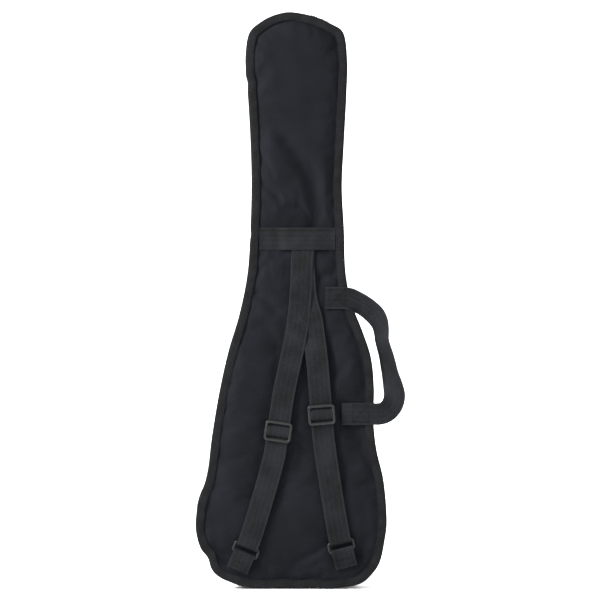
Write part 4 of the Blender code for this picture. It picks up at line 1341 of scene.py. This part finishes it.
@dataclass
class CarryHandle:
    """The side handle: two sewn ends and a loop of webbing that turns as it goes."""

    width: float = 0.038
    thick: float = 0.0016
    out: float = 0.0022
    reach: float = 0.005
    heights: tuple[float, float] = (0.503, 0.303)

    def __post_init__(self) -> None:
        """Finds where the loop leaves the bag."""
        z = [height + EDGE.foot_z for height in self.heights]
        self.upper, self.lower = (
            np.array([float(EDGE.side_x(Side.RIGHT, h)) + self.reach, 0.0, h]) for h in z
        )

    def sew_end(self, end: Array, seam: Seam) -> None:
        """The box of stitches on one sewn end, and the cross in it."""
        left, right = end[0] - 0.041, end[0] - 0.014
        low, high = end[2] - 0.0150, end[2] + 0.0150
        corners = [(left, low), (right, low), (right, high), (left, high), (left, low)]
        crosses = [[(left, low), (right, high)], [(left, high), (right, low)]]
        for line in [corners[i:i + 2] for i in range(4)] + crosses:
            ends = [np.array([x, -self.out - self.thick / 2 - 0.0002, z]) for x, z in line]
            seam.sew(np.linspace(*ends, 10), BACKWARDS)

    def route(self) -> tuple[Array, Array]:
        """The webbing's middle line from sewn end to sewn end, and half its width as a vector."""
        first, last = (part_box(f"{end}_handle_anchor")[0].x / MM for end in ("upper", "lower"))
        # x and z in mm, the way that the webbing runs and how far it is turned on its side, in degrees
        stations = [
            (first, -102.4, 0, 0), (80, -102.4, 2, 0), (93, -104, 14, 0), (104, -109, 27, 8),
            (114.5, -114, 30, 20), (126.5, -122.5, 36, 20), (138.5, -134, 46, 24), (145.5, -147, 62, 38),
            (148, -161, 78, 48), (149, -176, 80, 53), (156, -201, 76, 50), (159.5, -217, 76, 46),
            (163, -234, 74, 42), (168, -255, 76, 26), (170.5, -271, 86, 12), (167, -286.5, 112, 2),
            (157, -298.5, 144, 0), (145, -303, 170, 0), (130, -303, 180, 0), (last, -303, 180, 0),
        ]
        line = []
        for x, z, heading, turned in stations:
            heading, turned = math.radians(heading), math.radians(turned)
            flat = np.array([math.sin(heading), 0.0, math.cos(heading)]) * math.cos(turned)
            way = (flat + BACKWARDS * math.sin(turned)) * self.width / 2
            line.append(np.concatenate([[x * MM, -self.out, z * MM], way]))
        smooth = evenly(curve_through(np.array(line), 10), 0.003)
        return smooth[:, :3], smooth[:, 3:]

    def build(self, seam: Seam) -> None:
        """The whole length of webbing, which bends at the bag's edge, and its stitches."""
        centres, halves = self.route()
        along = np.gradient(centres, axis=0)
        normal = unit(np.cross(along, halves))
        section = band_section(self.width, self.thick)
        thing = swept("carry_handle_webbing", centres, unit(halves), normal, section)
        dress(thing, WEBBING)
        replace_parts(thing, "carry_handle", "upper_handle_anchor", "lower_handle_anchor")
        middle = (self.upper + self.lower) / 2 + BACKWARDS * self.out
        away = np.cross(FORWARDS, unit(self.upper - self.lower))
        start, end = middle - 0.002 * away, middle + 0.010 * away
        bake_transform(thing)
        for end in (self.upper, self.lower):
            self.sew_end(end, seam)


# ------------------------------------------------------------------------------ zip sliders
@dataclass
class ZipSlider:
    """A slider and its wire ring pull, modelled at the origin: it runs along X and stands out along Z."""

    slider: str
    pull: str
    place: tuple
    run: tuple
    out: tuple
    long: float = 0.011
    wide: float = 0.0088
    plate: float = 0.0016
    stand: float = 0.0003

    def settle(self, thing: Thing) -> Thing:
        """Moves a shape from the origin to the slider's place."""
        run, out = unit(np.array(self.run)), unit(np.array(self.out))
        axes = np.stack([run, np.cross(out, run), out], axis=-1)
        thing.data.transform(Matrix.LocRotScale(Vector(self.place), Matrix(axes.tolist()), None))
        return thing

    def build_slider(self) -> Thing:
        """The body: a shield with a narrow tail and a bridge for the pull."""
        deselect()
        bpy.ops.mesh.primitive_cube_add(size=1.0, location=(0.0, 0.0, self.stand + self.plate / 2))
        body = bpy.context.object
        bpy.ops.object.transform_apply(location=True)
        bpy.ops.object.mode_set(mode="EDIT")
        bpy.ops.transform.resize(
            value=(self.long, self.wide, self.plate), center_override=(0.0, 0.0, self.stand + self.plate / 2),
        )
        bpy.ops.mesh.subdivide(number_cuts=3)
        bpy.ops.object.mode_set(mode="OBJECT")
        for v in body.data.vertices:
            share = v.co.x / (self.long / 2)
            v.co.y *= 1.0 - 0.34 * float(smoothstep(np.array(share)))
            v.co.z += 0.0005 * (1 - share * share) if v.co.z > self.stand + self.plate * 0.6 else 0.0
        bevel = body.modifiers.new("edges", "BEVEL")
        bevel.width, bevel.segments, bevel.limit_method = 0.0004, 3, "ANGLE"
        apply_modifier(body, bevel.name)
        base = self.stand + self.plate
        turns = np.linspace(math.pi, 0.0, 13)
        arch = np.array([
            (0.0040 * math.cos(t), 0.0, base - 0.0004 + 0.0036 * math.sin(t) ** 0.7) for t in turns
        ])
        across = np.array([0.0, 1.0, 0.0])
        out = unit(np.cross(np.gradient(arch, axis=0), across))
        join(body, swept("bridge", arch, across, out, band_section(0.0030, 0.0010, 4)))
        body.name = body.data.name = f"{self.slider}_cast"
        self.settle(body)
        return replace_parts(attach(dress(body, ENAMEL, 35.0), self.slider), self.slider)

    def build_pull(self) -> Thing:
        """The ring pull: drawn wire bent to a ring."""
        low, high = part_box(self.pull)
        middle = (low + high) / 2
        radius = (high.x - low.x) / 2
        deselect()
        bpy.ops.mesh.primitive_torus_add(
            major_segments=56, minor_segments=14, major_radius=radius - 0.0007, minor_radius=0.0007,
            location=middle, rotation=(math.pi / 2, 0.0, 0.0),
        )
        thing = bpy.context.object
        bpy.ops.object.transform_apply(location=True, rotation=True)
        thing.name = thing.data.name = f"{self.pull}_wire"
        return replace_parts(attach(dress(thing, NICKEL, 80.0), self.pull), self.pull)

    def build(self) -> None:
        """The slider and its pull."""
        self.build_slider()
        self.build_pull()


# ------------------------------------------------------------------------------ front pocket
@dataclass
class FrontPocket:
    """The zipped pocket on the front: a lower panel, a header and a zip between them."""

    inset: float = 0.034
    rim: float = 0.0603
    face: float = 0.0690
    foot: float = -0.415
    mouth: float = -0.177
    shown: float = 0.0050
    header: float = 0.024
    cloth: float = 0.0012
    tape: float = 0.0008

    def cover(self, name: str, low: float, high: float, open_top: bool, node: str) -> Thing:
        """A panel whose edges turn down to the bag, but for the edge at the zip.

        Args:
            name: the piece's name.
            low: z of its lower edge.
            high: z of its upper edge.
            open_top: whether the zip is at its upper edge.
            node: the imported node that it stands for.

        Returns:
            The piece.
        """
        heights = np.linspace(low, high, max(12, round((high - low) / 0.004)))
        left, right = (EDGE.side_x(side, heights, self.inset) for side in Side)
        share = np.concatenate([[0.0], np.linspace(0.004, 0.996, 44), [1.0]])
        x = left[:, None] + (right - left)[:, None] * share
        z = np.broadcast_to(heights[:, None], x.shape)
        closed_end = z - low if open_top else high - z
        gap = np.minimum(np.minimum(x - left[:, None], right[:, None] - x), closed_end)
        rise = np.sqrt(np.clip(1 - (1 - np.clip(gap / 0.009, 0, 1)) ** 2, 0, 1))
        hollow = 0.0012 * (1 + rumple(np.stack([x, z], axis=-1), 20, 14, 31.0)) * smoothstep(gap / 0.03)
        y = self.rim + (self.face - self.rim - hollow) * rise
        rows = np.stack([x, y, z], axis=-1)[:, ::-1]
        thing = laid_grid(name, rows, rows[..., [0, 2]], closed=False)
        thicken(thing, self.cloth, -1.0)
        dress(thing, POLYESTER, 50.0)
        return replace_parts(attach(thing, "front"), node)

    def zip_half(self, name: str, out: float, node: str) -> Thing:
        """Half of the pocket's zip tape."""
        low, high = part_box(node)
        y = self.face - self.cloth - 0.0003
        x = np.linspace(low.x, high.x, 60)
        section = [(0.0014, y - self.tape), (0.0014, y), (0.0096, y), (0.0096, y - self.tape)]
        centres = np.stack([x, np.zeros(len(x)), np.full(len(x), self.mouth)], axis=1)
        thing = swept(name, centres, np.array([0.0, 0.0, out]), FORWARDS, section)
        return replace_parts(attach(dress(thing, ZIP_TAPE), "front"), node)

    def teeth(self) -> Thing:
        """The coil of the closed zip."""
        low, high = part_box("pocket_zip_lower")
        x = np.arange(low.x + 0.001, high.x - 0.001, 0.0011)
        sides = np.where(np.arange(len(x)) % 2, 1.0, -1.0)
        middle = np.stack([x, np.full(len(x), self.face - 0.0013), self.mouth + sides * 0.0007], axis=1)
        turns = np.broadcast_to(np.eye(3), (len(x), 3, 3))
        thing = copies("pocket_zip_coil", bead((0.00052, 0.0009, 0.0015)), middle, turns)
        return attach(dress(thing, NYLON_COIL, 80.0), "front")

    def build(self) -> None:
        """The pocket with its zip, slider and stitches."""
        self.cover("pocket_panel_cloth", self.foot, self.mouth - self.shown, True, "pocket_panel")
        self.cover(
            "pocket_header_cloth", self.mouth + self.shown, self.mouth + self.header, False, "pocket_header",
        )
        self.zip_half("pocket_zip_lower_tape", -1.0, "pocket_zip_lower")
        self.zip_half("pocket_zip_upper_tape", 1.0, "pocket_zip_upper")
        self.teeth()
        low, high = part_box("pocket_slider")
        place = ((low.x + high.x) / 2, float(low.y) - 0.0003, self.mouth)
        ZipSlider("pocket_slider", "pocket_pull", place, (1, 0, 0), (0, 1, 0)).build()
        seam = Seam()
        left, right = (float(EDGE.side_x(side, self.mouth, self.inset)) for side in Side)
        x = np.linspace(left + 0.012, right - 0.012, 40)
        for z in (self.mouth - self.shown - 0.0028, self.mouth + self.shown + 0.0028):
            seam.sew(np.stack([x, np.full(len(x), self.face + 0.0001), np.full(len(x), z)], axis=1), FORWARDS)
        seam.piece("pocket_stitches", "front")


# ------------------------------------------------------------------------------ the whole bag
BACK_FOLDS = (
    # the long valley down the neck, from a narrow start to a broad hollow over the neck band
    Fold(((-30, 186), (-8, 158), (12, 130), (26, 102), (34, 70), (34, 30), (30, -10)), 5.4, 14.0),
    Fold(((-40, 196), (-26, 178), (-12, 160)), 1.8, 12.0),
    Fold(((18, 150), (34, 112), (42, 80)), 1.6, 7.0),
    Fold(((2, 110), (14, 84), (14, 50)), -1.8, 16.0),
    Fold(((-70, 102), (-42, 84), (-20, 62)), 3.0, 5.0, 1.4),
    Fold(((-30, 60), (-8, 72), (0, 88)), -1.2, 10.0),
    Fold(((56, 96), (66, 98), (72, 102)), 1.2, 4.5, 1.4),
    Fold(((56, 80), (66, 78), (72, 76)), 1.2, 4.5, 1.4),
    Fold(((-60, 330), (-52, 290), (-56, 240)), -1.2, 12.0),
    Fold(((-20, 372), (0, 360), (30, 366)), -1.0, 14.0),
    Fold(((52, 330), (40, 280), (48, 220)), 1.2, 20.0),
    # under the neck band
    Fold(((-48, -26), (-30, -32), (-12, -24)), 2.2, 6.0, 1.5),
    Fold(((30, -70), (56, -62), (88, -54)), 4.2, 6.0, 1.5),
    Fold(((44, -34), (60, -30), (74, -34)), 1.2, 8.0),
    Fold(((-84, -84), (-52, -106), (-24, -134)), 4.0, 9.0, 1.6),
    Fold(((-66, -132), (-40, -170), (-34, -214)), 2.6, 16.0),
    Fold(((-96, -150), (-112, -230), (-128, -320)), -1.6, 18.0),
    Fold(((52, -150), (62, -200), (58, -250)), 2.0, 16.0),
    Fold(((88, -180), (96, -230), (84, -280)), -1.4, 18.0),
    # the hollow beside the handle's lower end, and the folds that run down from it
    Fold(((76, -270), (92, -316), (108, -352), (122, -392)), 4.2, 16.0),
    Fold(((96, -330), (118, -346), (132, -352)), 2.4, 8.0, 1.5),
    Fold(((100, -398), (122, -404), (140, -420)), -2.2, 10.0),
    Fold(((104, -436), (120, -424), (136, -426)), 2.2, 7.0, 1.5),
    # between the straps
    Fold(((-4, -330), (8, -372), (6, -420)), 3.0, 18.0),
    Fold(((-12, -420), (8, -470), (20, -520)), -1.6, 24.0),
    # lower left, where the panel bulges out past its seam
    Fold(((-150, -392), (-138, -414), (-132, -440)), 2.2, 9.0, 1.6),
    Fold(((-158, -424), (-146, -470), (-142, -508)), 2.4, 8.0, 1.6),
    Fold(((-158, -528), (-138, -540), (-122, -552), (-118, -572)), 6.0, 9.0, 1.6),
    Fold(((-154, -500), (-150, -528), (-136, -552)), -2.0, 8.0, 1.6),
    Fold(((-110, -380), (-96, -440), (-84, -500)), -1.6, 22.0),
    Fold(((-14, -566), (34, -542), (70, -514)), 3.6, 7.0, 1.5),
    Fold(((-22, -574), (20, -570), (60, -556)), 2.2, 7.0, 1.5),
    Fold(((-60, -560), (-30, -566), (0, -584)), 1.4, 9.0),
    Fold(((112, -440), (124, -500), (104, -566)), 3.4, 11.0),
    Fold(((84, -560), (98, -548), (116, -546)), 2.4, 5.0, 1.4),
)
FRONT_FOLDS = (
    Fold(((-40, 250), (-10, 190), (20, 140)), 3.0, 16.0),
    Fold(((40, 60), (10, 10), (-20, -40)), 2.6, 14.0),
    Fold(((-80, -60), (-40, -100), (10, -130)), 2.4, 14.0),
    Fold(((60, 300), (30, 260), (20, 220)), 2.0, 12.0),
    Fold(((-60, -500), (0, -520), (70, -500)), 2.8, 14.0),
    Fold(((90, -90), (70, -130), (80, -170)), 2.0, 12.0),
)


@dataclass
class GigBag:
    """The whole bag."""

    straps: tuple = (
        Strap(
            Side.RIGHT, (0.0445, 0.301), (0.073, 0.074), -14.0, 0,
            ((0, -7), (44, -9.6), (85, -11), (118, -10), (150, -4.2), (190, -1.6), (235, 0), (300, 0)), 1.0,
        ),
        Strap(
            Side.LEFT, (-0.0307, 0.272), (0.078, 0.067), 23.0, 1,
            ((0, -4), (50, -1.2), (90, 3.2), (125, 5.8), (160, 6.8), (200, 5.8), (240, 3.0), (272, 0.8),
             (300, 0), (330, 0)), 0.4,
        ),
    )

    def pressed(self) -> tuple:
        """Routes under the straps, the band and the handle's ends, in millimetres."""
        routes = []
        for strap in self.straps:
            centres, _ = strap.route()
            half = centres[:len(centres) // 2 + 10:6, [0, 2]] / MM
            routes.append(tuple(map(tuple, half)))
            centres, _ = strap.tab_route()
            routes.append(tuple(map(tuple, centres[:14:4, [0, 2]] / MM)))
        routes.append(((-70.0, 0.0), (70.0, 0.0)))
        for name in ("upper_handle_anchor", "lower_handle_anchor"):
            low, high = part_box(name)
            z = (low.z + high.z) / 2 / MM
            routes.append(((low.x / MM, z), (high.x / MM, z)))
        return tuple(routes)

    def build_panels(self) -> None:
        """The back panel, the front panel and the linings."""
        back = Panel("back_panel", 0.0, -1.0, BACK_FOLDS, 3, BACK_EDGE, self.pressed()).build()
        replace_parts(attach(back, "back"), "back_shell", "back_padding")
        front = Panel("front_panel", EDGE.depth, 1.0, FRONT_FOLDS, 11, rows=170, columns=46).build()
        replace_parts(front, "front_shell", "front_padding", "foot_shell", "foot_padding")
        self.fold(front)
        lining = Lining().build("back_lining_cloth", 0.0, -1.0, 5)
        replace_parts(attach(lining, "back"), "back_lining")
        lining = Lining().build("front_lining_cloth", EDGE.depth, 1.0, 8, Run.ABOVE)
        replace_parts(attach(lining, "front"), "front_lining")
        lining = Lining().build("foot_lining_cloth", EDGE.depth, 1.0, 8, Run.BELOW)
        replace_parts(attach(lining, "back"), "foot_lining")

    @staticmethod
    def fold(thing: Thing, below: float = 0.022, above: float = 0.022) -> Thing:
        """Bakes a piece's transform into its mesh; the cloth is not bent where the front half folds."""
        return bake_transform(thing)

    def build_edges(self) -> None:
        """Both edge tapes with their stitches."""
        tape, route = EdgeTape(edge=BACK_EDGE).build("back_edge_tape", 0.0, -1.0, 1)
        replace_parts(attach(tape, "back"), "back_binding")
        Seam().sew(route, BACKWARDS).piece("back_edge_stitches", "back")
        tape, route = EdgeTape().build("front_edge_tape", EDGE.depth, 1.0, 21)
        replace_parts(tape, "front_binding", "foot_binding")
        self.fold(tape)
        for name, keep, body in (
            ("front_edge_stitches", route[:, 2] > EDGE.fold_z + 0.022, "front"),
            ("foot_edge_stitches", route[:, 2] < EDGE.fold_z - 0.022, "back"),
        ):
            Seam().sew(route[kept_run(keep)], FORWARDS).piece(name, body)

    def build_sides(self) -> None:
        """The gusset, its zip and the closed foot."""
        wall, middle = SideWall(), EDGE.depth / 2
        back = wall.wall("back_gusset", wall.flange, middle - wall.zip_gap, Run.ABOVE, 2)
        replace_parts(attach(back, "back"), "back_side_wall")
        front = wall.wall("front_gusset", middle + wall.zip_gap, EDGE.depth - wall.flange, Run.ABOVE, 4)
        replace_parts(front, "front_side_wall")
        self.fold(front, 0.002, 0.045)
        foot = wall.wall("foot_gusset", wall.flange, EDGE.depth - wall.flange, Run.BELOW, 6)
        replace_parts(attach(foot, "back"), "bottom_side_wall")
        tape = wall.tape_strip("back_zip_strip", middle, -1.0)
        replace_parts(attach(tape, "back"), "back_zip_tape")
        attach(wall.teeth("back_zip_coil", middle, -1.0, 0.0), "back")
        tape = wall.tape_strip("front_zip_strip", middle, 1.0)
        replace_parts(tape, "front_zip_tape")
        self.fold(tape, 0.002, 0.045)
        self.fold(wall.teeth("front_zip_coil", middle, 1.0, 0.5), 0.002, 0.045)
        points, inward = EDGE.stations(Run.ABOVE)
        route = wall.hem(points, inward, middle - wall.zip_gap - 0.0022)
        Seam().sew(route, -inward).piece("back_zip_stitches", "back")

    def build_zip_sliders(self) -> None:
        """The two main sliders at the neck end, each with its ring pull."""
        for side, degrees in ((Side.LEFT, 17.0), (Side.RIGHT, 28.0)):
            turn = math.radians(degrees)
            x, z = EDGE.neck_point(degrees, 0.0070)
            name = side.value
            ZipSlider(
                f"{name}_zip_slider", f"{name}_zip_pull", (x, EDGE.depth / 2, z),
                (math.cos(turn), 0.0, -math.sin(turn)), (math.sin(turn), 0.0, math.cos(turn)),
            ).build()

    def build(self) -> None:
        """Everything, in the order in which it is sewn."""
        self.build_panels()
        self.build_edges()
        self.build_sides()
        seam = Seam()
        for strap in self.straps:
            strap.build(seam)
        NeckBand().build(seam)
        CarryHandle().build(seam)
        seam.piece("strap_stitches", "back")
        FrontPocket().build()
        self.build_zip_sliders()


# ------------------------------------------------------------------------------ studio
@dataclass
class Studio:
    """A pale paper sweep, soft lamps and the camera."""

    view_height: float = 1.038
    centre: tuple[float, float] = (0.0072, -0.1060)
    lens: float = 150.0
    sensor: float = 36.0
    reach: float = 14.0               # of the sweep, each way
    curve: float = 3.0                # its radius at the back

    def sweep(self) -> None:
        """The floor, which curves up far behind the bag."""
        low = CAD_BOX[0][2] - 0.0008
        profile = [(y, 0.0) for y in (-self.reach, -2.0, 0.0, 2.0, self.reach - self.curve)]
        for turn in np.linspace(0.0, math.pi / 2, 16)[1:]:
            rise = self.curve - self.curve * math.cos(turn)
            profile.append((self.reach - self.curve + self.curve * math.sin(turn), rise))
        profile.append((self.reach, 9.0))
        x = np.linspace(-self.reach, self.reach, 9)
        rows = np.array([[(a, y, low + z) for a in x] for y, z in profile])
        floor = laid_grid("studio_sweep", rows, rows[..., [0, 2]], closed=False)
        floor.data.materials.append(PAPER.material())
        choose(floor)
        bpy.ops.object.shade_smooth()

    @staticmethod
    def lamp(name: str, place: tuple, size: tuple, power: float, aim: tuple = (0.0, 0.0, -0.1)) -> None:
        """A soft rectangular lamp that points at the bag, or at another aim."""
        deselect()
        bpy.ops.object.light_add(type="AREA", location=place)
        lamp = bpy.context.object
        lamp.name = name
        lamp.data.shape = "RECTANGLE"
        lamp.data.size, lamp.data.size_y = size
        lamp.data.energy = power
        lamp.visible_camera = False
        lamp.rotation_euler = (Vector(aim) - Vector(place)).to_track_quat("-Z", "Y").to_euler()

    def camera(self) -> None:
        """The camera, square on to the back panel."""
        distance = self.view_height * self.lens / self.sensor
        deselect()
        bpy.ops.object.camera_add(
            location=(self.centre[0], -distance, self.centre[1]), rotation=(math.pi / 2, 0.0, 0.0),
        )
        camera = bpy.context.object
        camera.data.lens, camera.data.sensor_width = self.lens, self.sensor
        bpy.context.scene.camera = camera

    def build(self) -> None:
        """The whole studio."""
        self.sweep()
        self.lamp("key_lamp", (-1.9, -0.95, 1.2), (0.8, 0.8), 190.0)
        self.lamp("fill_lamp", (2.6, -2.6, 1.4), (1.8, 1.8), 22.0)
        self.lamp("front_lamp", (1.6, 3.0, 1.8), (1.8, 1.8), 120.0)
        self.lamp("sweep_lamp", (0.0, 5.0, 4.5), (8.0, 2.0), 1400.0, (0.0, 12.0, 0.0))
        world = bpy.data.worlds.new("studio")
        bpy.context.scene.world = world
        world.use_nodes = True
        world.node_tree.nodes["Background"].inputs["Color"].default_value = linear("#ffffff")
        world.node_tree.nodes["Background"].inputs["Strength"].default_value = 1.0
        bpy.context.scene.view_settings.view_transform = "Standard"
        self.camera()


def main() -> None:
    """Builds the bag and the studio."""
    logging.basicConfig(level=logging.INFO, format="%(message)s", stream=sys.stdout)
    GigBag().build()
    Studio().build()


if __name__ == "__main__":
    main()
